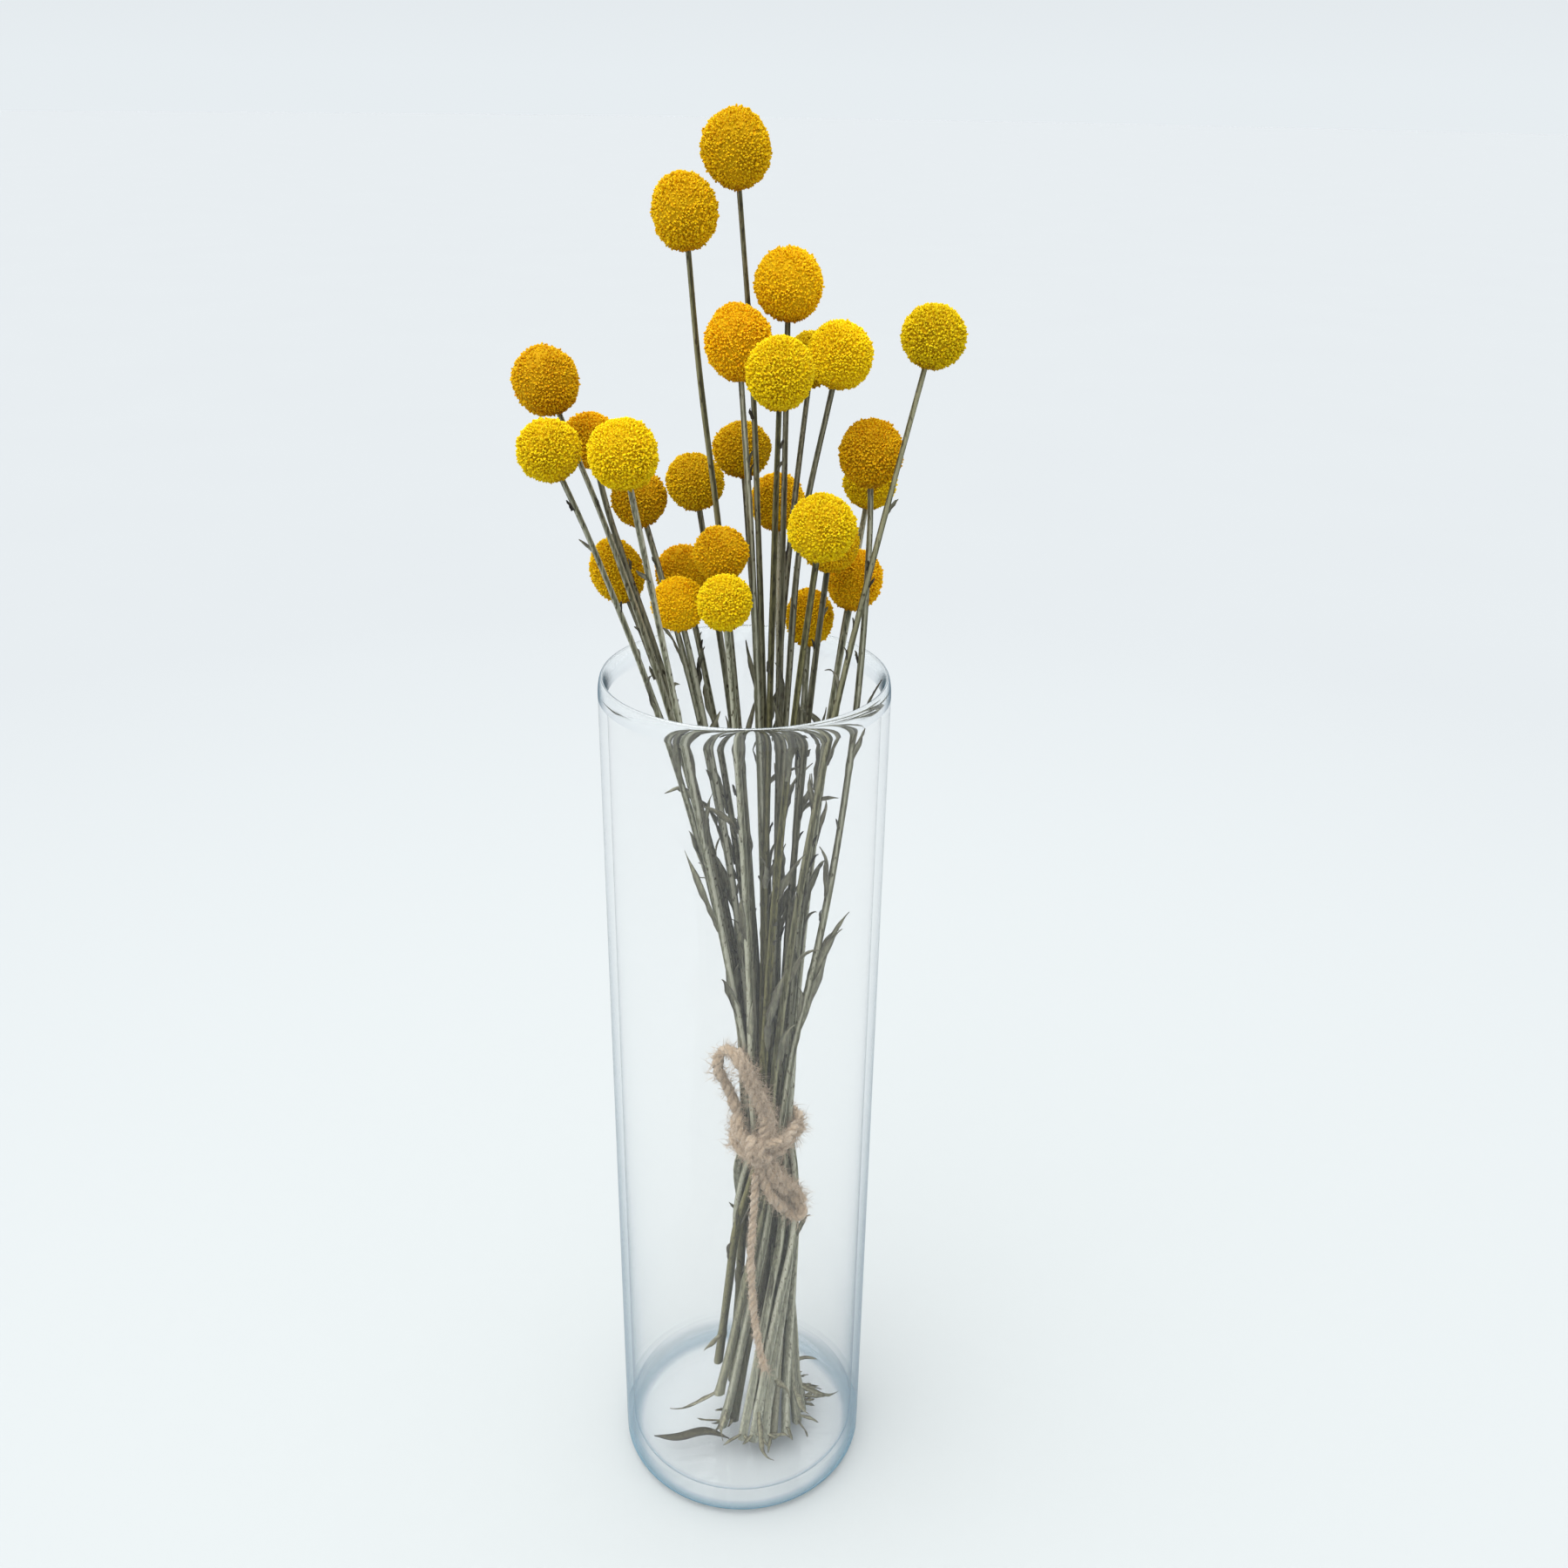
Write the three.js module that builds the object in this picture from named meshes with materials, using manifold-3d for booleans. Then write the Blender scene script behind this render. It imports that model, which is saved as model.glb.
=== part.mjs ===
// Billy buttons: a dried bunch of 27 globe-shaped flower heads on thin leafy stems, tied with jute
// twine, standing in a plain glass cylinder vase.
//
// Millimetres, +Z up. The origin is the middle of the vase's foot, on the surface it stands on.
// The bow faces -Y, and +X is to its right.

import * as THREE from 'three';
import { ConvexGeometry } from 'three/addons/geometries/ConvexGeometry.js';
import { mergeVertices } from 'three/addons/utils/BufferGeometryUtils.js';
import Module from 'manifold-3d';

const wasm = await Module();
wasm.setup();

// ---------------------------------------------------------------- driving dimensions

const CLEAR = 0.3; // the gap left between two pieces that touch

const VASE = {
  radius: 50, height: 350, wall: 3, floor: 8, sides: 40,
  heel: 5, // round of the foot's outer edge
  fillet: 5, // round where the inner wall meets the floor
  arcSteps: 3, // how many straight runs stand for each round
};
const VASE_BORE = VASE.radius - VASE.wall;
const VASE_FLOOR = { z: VASE.floor + CLEAR, radius: VASE_BORE - VASE.fillet };

// Each flower head: where its middle stands, its width, its length along the stem, and how far its
// stem bows out sideways, if it does.
const FLOWERS = [
  { x: -3, y: 0, z: 514, width: 21, length: 23.5, tint: 'golden' },
  { x: -18, y: -5, z: 497, width: 20.5, length: 23, tint: 'golden' },
  { x: 13, y: 2, z: 476, width: 22, length: 23, tint: 'golden' },
  { x: 57, y: -10, z: 463, width: 20, length: 20, tint: 'lemon' },
  { x: -2, y: -7, z: 460, width: 21.5, length: 24, tint: 'amber' },
  { x: 29, y: -4, z: 456, width: 21.5, length: 21.5, tint: 'lemon' },
  { x: 11, y: -30, z: 455, width: 21, length: 22.5, tint: 'lemon' },
  { x: 21, y: 30, z: 449, width: 18.5, length: 18.5, tint: 'lemon' },
  { x: -62, y: -4, z: 447, width: 21.5, length: 22.5, tint: 'amber' },
  { x: -59, y: -24, z: 430, width: 20.5, length: 20, tint: 'lemon' },
  { x: -36, y: -28, z: 430, width: 22, length: 22, tint: 'lemon', bow: -7 },
  { x: -51, y: 12, z: 425, width: 19.5, length: 19, tint: 'amber' },
  { x: 40, y: 0, z: 425, width: 21.5, length: 22, tint: 'amber', bow: 14 },
  { x: -2, y: 29, z: 419, width: 20.5, length: 19.5, tint: 'golden' },
  { x: -17, y: 12, z: 412, width: 20, length: 19.5, tint: 'golden' },
  { x: 24, y: -34, z: 410, width: 21.5, length: 21.5, tint: 'lemon' },
  { x: 42, y: 34, z: 407, width: 19, length: 19, tint: 'lemon' },
  { x: -36, y: 16, z: 405, width: 19.5, length: 19.5, tint: 'amber' },
  { x: 10, y: 45, z: 397, width: 20, length: 21, tint: 'golden' },
  { x: 28, y: 0, z: 396, width: 20, length: 21, tint: 'golden' },
  { x: -7.5, y: -10, z: 394.5, width: 18.5, length: 18.5, tint: 'amber' },
  { x: -5.5, y: -30, z: 384.5, width: 18, length: 18.5, tint: 'lemon' },
  { x: 37, y: 16, z: 378, width: 19.5, length: 22, tint: 'amber' },
  { x: -45, y: 22, z: 378, width: 19, length: 23.5, tint: 'golden' },
  { x: -23, y: 30, z: 376, width: 19.5, length: 19, tint: 'amber' },
  { x: -22, y: -4, z: 375, width: 18.5, length: 19, tint: 'golden' },
  { x: 22, y: 22, z: 362, width: 17.5, length: 21.5, tint: 'golden' },
];
const TINTS = { golden: 0xe3b008, lemon: 0xe8c81c, amber: 0xd89a0a };

const FLORETS = 40; // bumps over one head, each standing for a cluster of florets
const FLORET_DEPTH = 0.13; // how deep the valleys between them are, as a share of the head's radius
const SOCKET_DEPTH = 4; // how far a stem stands in its head

const STEM = {
  footRadius: 1.65, neckRadius: 1.08, thinAt: 440, sides: 5,
  // The heights at which all stems are shaped, closest together where they are tied.
  levels: [VASE_FLOOR.z, 25, 50, 80, 110, 136, 157, 178, 200, 228, 262, 305, 350, 400, 450],
  freeNeck: 9, // no level lies closer than this below a head
  shortEvery: 6, // every so many stems, one was cut short and ends a level higher
};

// The waist of the bunch: its middle, its radius, how tall the tightly held stretch of the bunch is
// each way, and how much wider that grows for each millimetre above and below the middle.
const TIE = { x: 9.5, y: 0, z: 157, radius: 10.4, held: 50, flare: 0.035, flareBelow: 0.17 };
const WAIST_REACH = 38; // how far from the waist's middle a stem stands, for each unit of its lean
const WAIST_TURN = -1.1; // the angle between a stem's lean and its place in the waist, in radians
const FIRST_LEAN = 0.3; // the share of its lean that a stem has above the waist; it bends to the rest
// Below the waist, the share of its lean that a stem splays by, how much the whole bunch widens and
// within what height, how far to the right the feet stand, and how far out a stem may stray above
// its foot, and at its foot.
const FEET = { splay: 0.5, widening: 1.5, within: 42, shift: -3, reach: 18, footReach: 21 };

const LEAF = { thickness: 0.7, segment: 8, rootWidth: 1.4, tipWidth: 0.7, tries: 16, gap: 0.5 };
// Leaves up a stem: the heights they grow between, how many on average, their length, width,
// their angle to the stem at the root, how much further they bend away by the tip, and how far the
// blade is rolled about its own length.
const LEAF_ROLL = [-1.2, 1.2];
const LEAF_ZONES = [
  { from: 16, to: 45, count: 0.4, length: [12, 20], width: [2.2, 3.2], angle: [0.7, 1.5], bend: [0.3, 1.2] },
  { from: 60, to: 125, count: 0.4, length: [10, 20], width: [1.8, 2.8], angle: [0.1, 0.3], bend: [0.1, 0.7] },
  { from: 190, to: 255, count: 0.9, length: [16, 32], width: [2.2, 3.6], angle: [0.1, 0.2], bend: [0.1, 1] },
  { from: 255, to: 345, count: 1, length: [12, 26], width: [1.8, 3], angle: [0.12, 0.35], bend: [0.3, 2.2] },
  { from: 360, to: 480, count: 0.4, length: [5, 9], width: [1.5, 2], angle: [0.25, 0.5], bend: [0.2, 1] },
];
// Large leaves, each on whichever stem stands furthest out on the side it points to.
const LARGE_LEAVES = [
  { z: 204, heading: 0, length: 52, width: 5, angle: 0.08, bend: 0.1, roll: 1.1 },
  { z: 222, heading: 0.1, length: 40, width: 3, angle: 0.1, bend: 0.35, roll: 0.9 },
  { z: 196, heading: Math.PI, length: 36, width: 2, angle: 0.2, bend: 0.1, roll: 0.8 },
  { z: 24, heading: -1.5, length: 26, width: 2.6, angle: 2.0, bend: -0.35 },
  { z: 22, heading: -0.2, length: 18, width: 2, angle: 2.1, bend: -0.4 },
  { z: 26, heading: -2.7, length: 22, width: 1.8, angle: 2.1, bend: -0.3 },
];

const TWINE = { radius: 1.8, sides: 6, step: 3.6 };
// The two turns round the bunch: the height of each on the right, behind, on the left and in front.
const TURNS = [
  { right: 161, behind: 160, left: 159.5, front: 157.5 },
  { right: 157.2, behind: 156, left: 153, front: 153.5 },
];
const KNOT = { x: 6.5, z: 156.5, width: 12, depth: 7.5, height: 13 };
// The bow as seen from the front, in x and z: the standing loop and the doubled one that droops.
const LOOPS = [
  [[5, 154], [0.5, 160], [-2.5, 171], [-6.6, 182], [-9.8, 190], [-8.4, 197], [-4.2, 199.5], [-0.4, 195],
    [2.4, 187.5], [6, 179], [8.6, 169.5], [8, 159]],
  [[9, 153], [12.8, 143], [17.5, 134.5], [22.6, 126], [24, 121.5], [19.5, 122.5], [14.6, 130], [9, 141],
    [6, 152]],
];
const TAIL = {
  radius: 1.5, step: 7.5,
  points: [[5.2, -15.9, 147.6], [4.8, -15.9, 134], [4.2, -16.6, 122], [3.6, -17.2, 108], [4, -17.6, 94],
    [4.9, -18, 80], [6.2, -18.6, 68], [8, -19, 57], [9.6, -19, 49]],
};

const FALLEN_LEAF = { left: -37, right: -5, y: -19, width: 4.6, arch: 1.5 };

// ---------------------------------------------------------------- small tools

// A repeatable stream of numbers from 0 to 1 (Park and Miller's minimal generator).
function stream(seed) {
  let state = seed * 7919 + 17;
  return () => {
    state = (state * 16807) % 2147483647;
    return state / 2147483647;
  };
}
const between = (draw, [low, high]) => low + (high - low) * draw();
const clamp = (v, low, high) => Math.min(high, Math.max(low, v));
const mix = (a, b, t) => a + (b - a) * t;

function solidOf(geometry) {
  const bare = geometry.clone();
  bare.deleteAttribute('normal');
  bare.deleteAttribute('uv');
  const merged = mergeVertices(bare, 1e-4);
  return new wasm.Manifold(new wasm.Mesh({
    numProp: 3,
    vertProperties: new Float32Array(merged.attributes.position.array),
    triVerts: new Uint32Array(merged.index.array),
  }));
}

function geometryOf(solid) {
  const mesh = solid.getMesh();
  const geometry = new THREE.BufferGeometry();
  geometry.setAttribute('position', new THREE.BufferAttribute(new Float32Array(mesh.vertProperties), 3));
  geometry.setIndex(new THREE.BufferAttribute(new Uint32Array(mesh.triVerts), 1));
  return geometry;
}

// Moves every vertex of a geometry to where a rule sends it.
function shaped(geometry, rule) {
  const place = geometry.attributes.position;
  const vertex = new THREE.Vector3();
  for (let i = 0; i < place.count; i++) {
    rule(vertex.fromBufferAttribute(place, i));
    place.setXYZ(i, vertex.x, vertex.y, vertex.z);
  }
  return geometry;
}

// A tube of round section along a curve.
function tube(curve, radius, sides, steps) {
  const section = new THREE.Shape();
  section.absarc(0, 0, radius, 0, 2 * Math.PI);
  return new THREE.ExtrudeGeometry(section, {
    extrudePath: curve, steps, curveSegments: sides / 2, bevelEnabled: false,
  });
}

function named(name, geometry, color, roughness, extra = {}) {
  const mesh = new THREE.Mesh(geometry, new THREE.MeshStandardMaterial({ color, roughness, ...extra }));
  mesh.name = name;
  return mesh;
}

// ---------------------------------------------------------------- the stems' routes

const stemRadius = (z) => mix(STEM.footRadius, STEM.neckRadius, clamp(z / STEM.thinAt, 0, 1));

// How far along its way out a stem is, at t = 0 in the waist and t = 1 at its head. It bends outward
// above the waist, and splays the other way below it.
const wayOut = (t) => (t > 0 ? FIRST_LEAN * t + (1 - FIRST_LEAN) * t * t : FEET.splay * t);

// One stem as it starts, before the stems are parted.
function startRoute(flower, number) {
  const rise = flower.z - TIE.z;
  const lean = new THREE.Vector2((flower.x - TIE.x) / rise, (flower.y - TIE.y) / rise);
  const waist = lean.clone().rotateAround(new THREE.Vector2(), WAIST_TURN).multiplyScalar(WAIST_REACH);
  waist.x += TIE.x;
  waist.y += TIE.y;
  const topLevel = flower.z - flower.length / 2 - STEM.freeNeck;
  const skip = number % STEM.shortEvery === 3 ? 1 : 0;
  const points = STEM.levels.filter((z) => z < topLevel).slice(skip).map((z) => {
    const t = (z - TIE.z) / rise;
    const aside = t > 0 ? 4 * (flower.bow ?? 0) * t * (1 - t) : FEET.shift * (1 - z / TIE.z);
    const widening = 1 + FEET.widening * clamp((TIE.z - z) / FEET.within, 0, 1);
    const x = mix(TIE.x, mix(waist.x, flower.x, wayOut(t)), widening) + aside;
    const y = mix(TIE.y, mix(waist.y, flower.y, wayOut(t)), widening);
    return new THREE.Vector3(x, y, z);
  });
  const stem = { flower, points, skip };
  stem.bends = bendsOf(stem);
  return stem;
}

const middleOf = ({ flower }) => new THREE.Vector3(flower.x, flower.y, flower.z);

// How far each level lies from the straight line between its neighbours, and the foot from the axis.
function bendsOf(stem) {
  const end = tipOf(stem);
  return stem.points.map((point, i) => {
    if (i === 0) return new THREE.Vector2(point.x, point.y);
    const below = stem.points[i - 1];
    const above = stem.points[i + 1] ?? end;
    const t = (point.z - below.z) / (above.z - below.z);
    return new THREE.Vector2(point.x - mix(below.x, above.x, t), point.y - mix(below.y, above.y, t));
  });
}

// The stem's end inside its head, on the line from the last level to the head's middle.
function tipOf(stem) {
  const middle = middleOf(stem);
  const along = middle.clone().sub(stem.points.at(-1)).normalize();
  return middle.addScaledVector(along, SOCKET_DEPTH - stem.flower.length / 2);
}

// Moves a, and b the other way, until they are far enough apart in plan.
function pushApart(a, b, least, shareA) {
  const dx = b.x - a.x;
  const dy = b.y - a.y;
  const apart = Math.hypot(dx, dy) || 1e-6;
  if (apart >= least) return;
  const move = (least - apart) / apart;
  a.x -= dx * move * shareA;
  a.y -= dy * move * shareA;
  b.x += dx * move * (1 - shareA);
  b.y += dy * move * (1 - shareA);
}

// Keeps all stems clear of each other at every level.
function partStems(stems, gap) {
  stems.forEach((a, i) => stems.slice(i + 1).forEach((b) => {
    const first = Math.max(a.skip, b.skip);
    const last = Math.min(a.points.length + a.skip, b.points.length + b.skip);
    for (let level = first; level < last; level++) {
      const point = a.points[level - a.skip];
      pushApart(point, b.points[level - b.skip], 2 * stemRadius(point.z) + gap, 0.5);
    }
  }));
}

// Bends a stem round the heads of the others.
function clearHeads(stem, stems, gap) {
  const route = [...stem.points, tipOf(stem)];
  for (const other of stems.filter((s) => s !== stem)) {
    const middle = middleOf(other);
    const reach = Math.max(other.flower.width, other.flower.length) / 2 + gap;
    for (let i = 0; i + 1 < route.length; i++) {
      const run = new THREE.Line3(route[i], route[i + 1]);
      const t = run.closestPointToPointParameter(middle, true);
      const away = run.at(t, new THREE.Vector3()).sub(middle);
      const short = reach + stemRadius(middle.z + away.z) - away.length();
      if (short <= 0) continue;
      away.setZ(0).normalize();
      route[i].addScaledVector(away, short * (1 - t));
      if (i + 1 < stem.points.length) route[i + 1].addScaledVector(away, short * t);
    }
  }
}

// Draws each level back to its first bend between its neighbours, and the foot to its first place.
function straighten(stem, share) {
  bendsOf(stem).forEach((bend, i) => {
    stem.points[i].x += (stem.bends[i].x - bend.x) * share;
    stem.points[i].y += (stem.bends[i].y - bend.y) * share;
  });
}

// Holds a level inside a circle.
function keepInside(point, centre, reach) {
  const out = Math.hypot(point.x - centre.x, point.y - centre.y);
  if (out <= reach) return;
  point.x = mix(centre.x, point.x, reach / out);
  point.y = mix(centre.y, point.y, reach / out);
}

// Keeps a stem in the twine's grip, inside the glass, and off the leaf that lies on the floor.
function confine(stem) {
  const axis = { x: 0, y: 0 };
  for (const point of stem.points) {
    const radius = stemRadius(point.z);
    if (point.z < VASE.height + 5) keepInside(point, axis, VASE_BORE - radius - 4);
    const above = point.z - TIE.z;
    if (above > TIE.held) continue;
    const loose = TIE.radius + (above > 0 ? TIE.flare : -TIE.flareBelow) * above;
    const reach = point === stem.points[0] ? FEET.footReach : FEET.reach;
    const centre = { x: TIE.x + FEET.shift * clamp(-above / TIE.z, 0, 1), y: TIE.y };
    keepInside(point, centre, Math.min(loose, reach) - radius);
  }
  const foot = stem.points[0];
  keepInside(foot, axis, VASE_FLOOR.radius - STEM.footRadius - 4);
  const nearest = { x: clamp(foot.x, FALLEN_LEAF.left, FALLEN_LEAF.right), y: FALLEN_LEAF.y };
  pushApart(nearest, foot, FALLEN_LEAF.width / 2 + STEM.footRadius + 0.8, 0);
}

function settle(stems) {
  const rounds = 400;
  const lastRounds = 60; // with no more straightening, so that every gap opens fully
  for (let round = 0; round < rounds; round++) {
    for (const stem of stems) {
      if (round < rounds - lastRounds) straighten(stem, 0.25);
      clearHeads(stem, stems, 0.9);
      confine(stem);
    }
    partStems(stems, CLEAR + 0.1);
  }
}

const stems = FLOWERS.map(startRoute);
settle(stems);
stems.forEach((stem) => { stem.route = [...stem.points, tipOf(stem)]; });

// The point of a route at a height, and the route's direction there.
function at(route, z) {
  let i = 0;
  while (i + 2 < route.length && route[i + 1].z < z) i++;
  const along = route[i + 1].clone().sub(route[i]);
  const t = clamp((z - route[i].z) / along.z, 0, 1);
  return { point: route[i].clone().addScaledVector(along, t), along: along.normalize() };
}

// ---------------------------------------------------------------- flower heads

// n unit directions spread evenly over a ball, in a golden-angle spiral.
function spiral(n, turn) {
  return Array.from({ length: n }, (_, i) => {
    const angle = turn + i * Math.PI * (3 - Math.sqrt(5));
    const z = 1 - (2 * i + 1) / n;
    const side = Math.sqrt(1 - z * z);
    return new THREE.Vector3(side * Math.cos(angle), side * Math.sin(angle), z);
  });
}

// A ball with a bump at each point of the spiral. Every face of the points' hull gets a sunken
// middle, and each edge of the hull is drawn again as a ridge between the two middles beside it.
function bumpyBall(n, turn) {
  const hull = mergeVertices(new ConvexGeometry(spiral(n, turn)).deleteAttribute('normal'), 1e-4);
  const corner = (i) => new THREE.Vector3().fromBufferAttribute(hull.attributes.position, i);
  const faces = [];
  for (let i = 0; i < hull.index.count; i += 3) faces.push([0, 1, 2].map((k) => hull.index.getX(i + k)));
  const sunken = faces.map(([a, b, c]) => corner(a).add(corner(b)).add(corner(c))
    .setLength(1 - FLORET_DEPTH));
  const beside = new Map();
  faces.forEach((face, f) => face.forEach((a, k) => beside.set(`${a},${face[(k + 1) % 3]}`, f)));
  const points = [];
  faces.forEach((face, f) => face.forEach((a, k) => {
    const b = face[(k + 1) % 3];
    points.push(corner(a), sunken[beside.get(`${b},${a}`)], sunken[f]);
  }));
  return new THREE.BufferGeometry().setFromPoints(points);
}

function flowerHead(stem, number) {
  const { flower, route } = stem;
  const { along } = at(route, Infinity);
  const ball = bumpyBall(FLORETS, number);
  ball.scale(flower.width / 2, flower.width / 2, flower.length / 2);
  ball.applyQuaternion(new THREE.Quaternion().setFromUnitVectors(new THREE.Vector3(0, 0, 1), along));
  ball.translate(flower.x, flower.y, flower.z);
  const tip = route.at(-1).clone().addScaledVector(along, 2 * CLEAR);
  const below = middleOf(stem).addScaledVector(along, -flower.length);
  const socket = tube(new THREE.LineCurve3(below, tip), stemRadius(tip.z) + CLEAR, 8, 1);
  return geometryOf(solidOf(ball).subtract(solidOf(socket)));
}

// ---------------------------------------------------------------- twine

// The furthest back that the middle of a strand can lie at x and z and still pass in front of
// every stem.
function front(x, z, radius) {
  const places = stems.filter(({ route }) => z > route[0].z - radius).map(({ route }) => {
    const { point } = at(route, z);
    const reach = stemRadius(z) + radius + CLEAR + 0.2;
    const across = Math.abs(point.x - x);
    return across < reach ? point.y - Math.sqrt(reach * reach - across * across) : Infinity;
  });
  return Math.min(TIE.y - 5, ...places);
}

// A strand laid over the front of the bunch, from its outline in x and z.
function laidOver(outline, radius) {
  const plan = new THREE.CatmullRomCurve3(outline.map(([x, z]) => new THREE.Vector3(x, 0, z)));
  const count = Math.round(plan.getLength() / TWINE.step);
  const places = plan.getSpacedPoints(count);
  return places.map(({ x, z }) => {
    const depths = [-radius, 0, radius].flatMap((dz) => [-radius, 0, radius].map((dx) => (
      front(x + dx, z + dz, radius))));
    return new THREE.Vector3(x, Math.min(...depths), z);
  });
}

// One turn of twine, drawn tight round the outermost stems.
function turnRound(turn) {
  const count = 22;
  const across = turn.right + turn.left;
  const along = turn.behind + turn.front;
  return Array.from({ length: count }, (_, i) => {
    const angle = (i / count) * 2 * Math.PI;
    const [cos, sin] = [Math.cos(angle), Math.sin(angle)];
    const z = (across + along) / 4 + ((across - along) / 4) * Math.cos(2 * angle)
      + ((turn.right - turn.left) / 2) * cos + ((turn.behind - turn.front) / 2) * sin;
    const reach = stemRadius(z) + CLEAR + 0.2 + TWINE.radius;
    const near = stems.flatMap(({ route }) => [-1, 0, 1].map((k) => at(route, z + k * TWINE.radius).point));
    const out = Math.max(...near.map((p) => p.x * cos + p.y * sin));
    const point = near.find((p) => p.x * cos + p.y * sin === out);
    return new THREE.Vector3(point.x + cos * reach, point.y + sin * reach, z);
  });
}

const turns = TURNS.map(turnRound);
const loops = LOOPS.map((outline) => laidOver(outline, TWINE.radius));
const tail = new THREE.CatmullRomCurve3(TAIL.points.map((point) => new THREE.Vector3(...point)));
const twineRoutes = [...turns, ...loops, tail.getSpacedPoints(Math.round(tail.getLength() / TWINE.step))];

function knotShape() {
  const y = front(KNOT.x, KNOT.z, TWINE.radius) - KNOT.depth / 2 + TWINE.radius;
  return new THREE.SphereGeometry(0.5, 10, 7).scale(KNOT.width, KNOT.depth, KNOT.height)
    .translate(KNOT.x, y, KNOT.z);
}

function juteTie() {
  const rings = turns.map((route) => {
    const curve = new THREE.CatmullRomCurve3(route, true, 'catmullrom', 0.2);
    return solidOf(tube(curve, TWINE.radius, TWINE.sides, route.length));
  });
  const bows = loops.map((route) => (
    solidOf(tube(new THREE.CatmullRomCurve3(route), TWINE.radius, TWINE.sides, route.length))));
  const all = [...rings, ...bows].reduce((sum, piece) => sum.add(piece), solidOf(knotShape()));
  return geometryOf(all);
}

// ---------------------------------------------------------------- leaves

const leafWidth = (width, s) => (s < 0.4 ? mix(LEAF.rootWidth, width, s / 0.4)
  : mix(width, LEAF.tipWidth, ((s - 0.4) / 0.6) ** 1.6));

// Where a leaf's middle line and its two directions are, from its root (s = 0) to its tip (s = 1).
function leafFrame(leaf, s) {
  const steps = 8;
  const middle = leaf.root.clone();
  for (let i = 0; i < steps; i++) {
    const angle = leaf.angle + (leaf.bend * s * (i + 0.5)) / steps;
    middle.addScaledVector(leaf.up, (Math.cos(angle) * leaf.length * s) / steps);
    middle.addScaledVector(leaf.out, (Math.sin(angle) * leaf.length * s) / steps);
  }
  const end = leaf.angle + leaf.bend * s;
  const along = leaf.up.clone().multiplyScalar(Math.cos(end)).addScaledVector(leaf.out, Math.sin(end));
  const side = leaf.up.clone().cross(leaf.out).applyAxisAngle(along, leaf.roll);
  const face = side.clone().cross(along);
  return { middle, face, side };
}

function leafBlade(leaf) {
  const segments = clamp(Math.round(leaf.length / LEAF.segment), 1, 4);
  return shaped(new THREE.BoxGeometry(1, 1, LEAF.thickness, 1, segments, 1), (vertex) => {
    const s = vertex.y + 0.5;
    const { middle, face, side } = leafFrame(leaf, s);
    const across = vertex.x * leafWidth(leaf.width, s);
    middle.addScaledVector(side, across).addScaledVector(face, vertex.z);
    vertex.copy(middle);
  });
}

// Points over a leaf's middle and edges, for testing what it touches.
function leafSamples(leaf) {
  const count = 12;
  return Array.from({ length: count }, (_, i) => (i + 1) / count).flatMap((s) => {
    const { middle, side } = leafFrame(leaf, s);
    return [-0.5, 0, 0.5].map((k) => middle.clone().addScaledVector(side, k * leafWidth(leaf.width, s)));
  });
}

const grown = []; // samples of every leaf so far, with the stem each grows on
const LEAF_REACH = LEAF.thickness / 2 + LEAF.gap;

// Whether a point on a leaf of one stem is clear of the glass, the twine, and everything that
// belongs to the other stems.
function isFree(point, owner) {
  const out = Math.hypot(point.x, point.y);
  if (point.z < VASE.floor + LEAF_REACH + 0.2) return false;
  if (point.z < VASE.height + 3 && out > VASE_BORE - LEAF_REACH) return false;
  if (point.z < VASE_FLOOR.z + VASE.fillet && out > VASE_FLOOR.radius) return false;
  if (twineRoutes.some((route) => route.some((p) => p.distanceTo(point) < TWINE.radius + LEAF_REACH + 0.6))) {
    return false;
  }
  const leafX = clamp(point.x, FALLEN_LEAF.left, FALLEN_LEAF.right);
  if (point.z < 14 && Math.hypot(point.x - leafX, point.y - FALLEN_LEAF.y) < 5) return false;
  for (const stem of stems) {
    if (stem === owner) continue;
    const { flower, route } = stem;
    const ball = Math.max(flower.width, flower.length) / 2;
    if (point.distanceTo(middleOf(stem)) < ball + LEAF_REACH) return false;
    const beside = at(route, point.z).point;
    if (beside.distanceTo(point) < stemRadius(point.z) * 1.06 + LEAF_REACH) return false;
  }
  return grown.every((other) => other.owner === owner || other.point.distanceTo(point) > 2.4);
}

// Adds a leaf to a stem if it has room there.
function grow(stem, z, heading, { length, width, angle, bend, roll = 0 }) {
  const { point, along } = at(stem.route, z);
  const out = new THREE.Vector3(Math.cos(heading), Math.sin(heading), 0);
  out.addScaledVector(along, -out.dot(along)).normalize();
  const leaf = { root: point, up: along, out, length, width, angle, bend, roll };
  const samples = leafSamples(leaf);
  if (!samples.every((sample) => isFree(sample, stem))) return false;
  samples.forEach((sample) => grown.push({ point: sample, owner: stem }));
  stem.leaves.push(leaf);
  return true;
}

function growLargeLeaves() {
  for (const leaf of LARGE_LEAVES) {
    const far = ({ route }) => {
      const { point } = at(route, leaf.z);
      return point.x * Math.cos(leaf.heading) + point.y * Math.sin(leaf.heading);
    };
    const outermost = stems.filter(({ route }) => route[0].z < leaf.z).sort((a, b) => far(b) - far(a));
    outermost.slice(0, 3).some((stem) => grow(stem, leaf.z, leaf.heading, leaf));
  }
}

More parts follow.
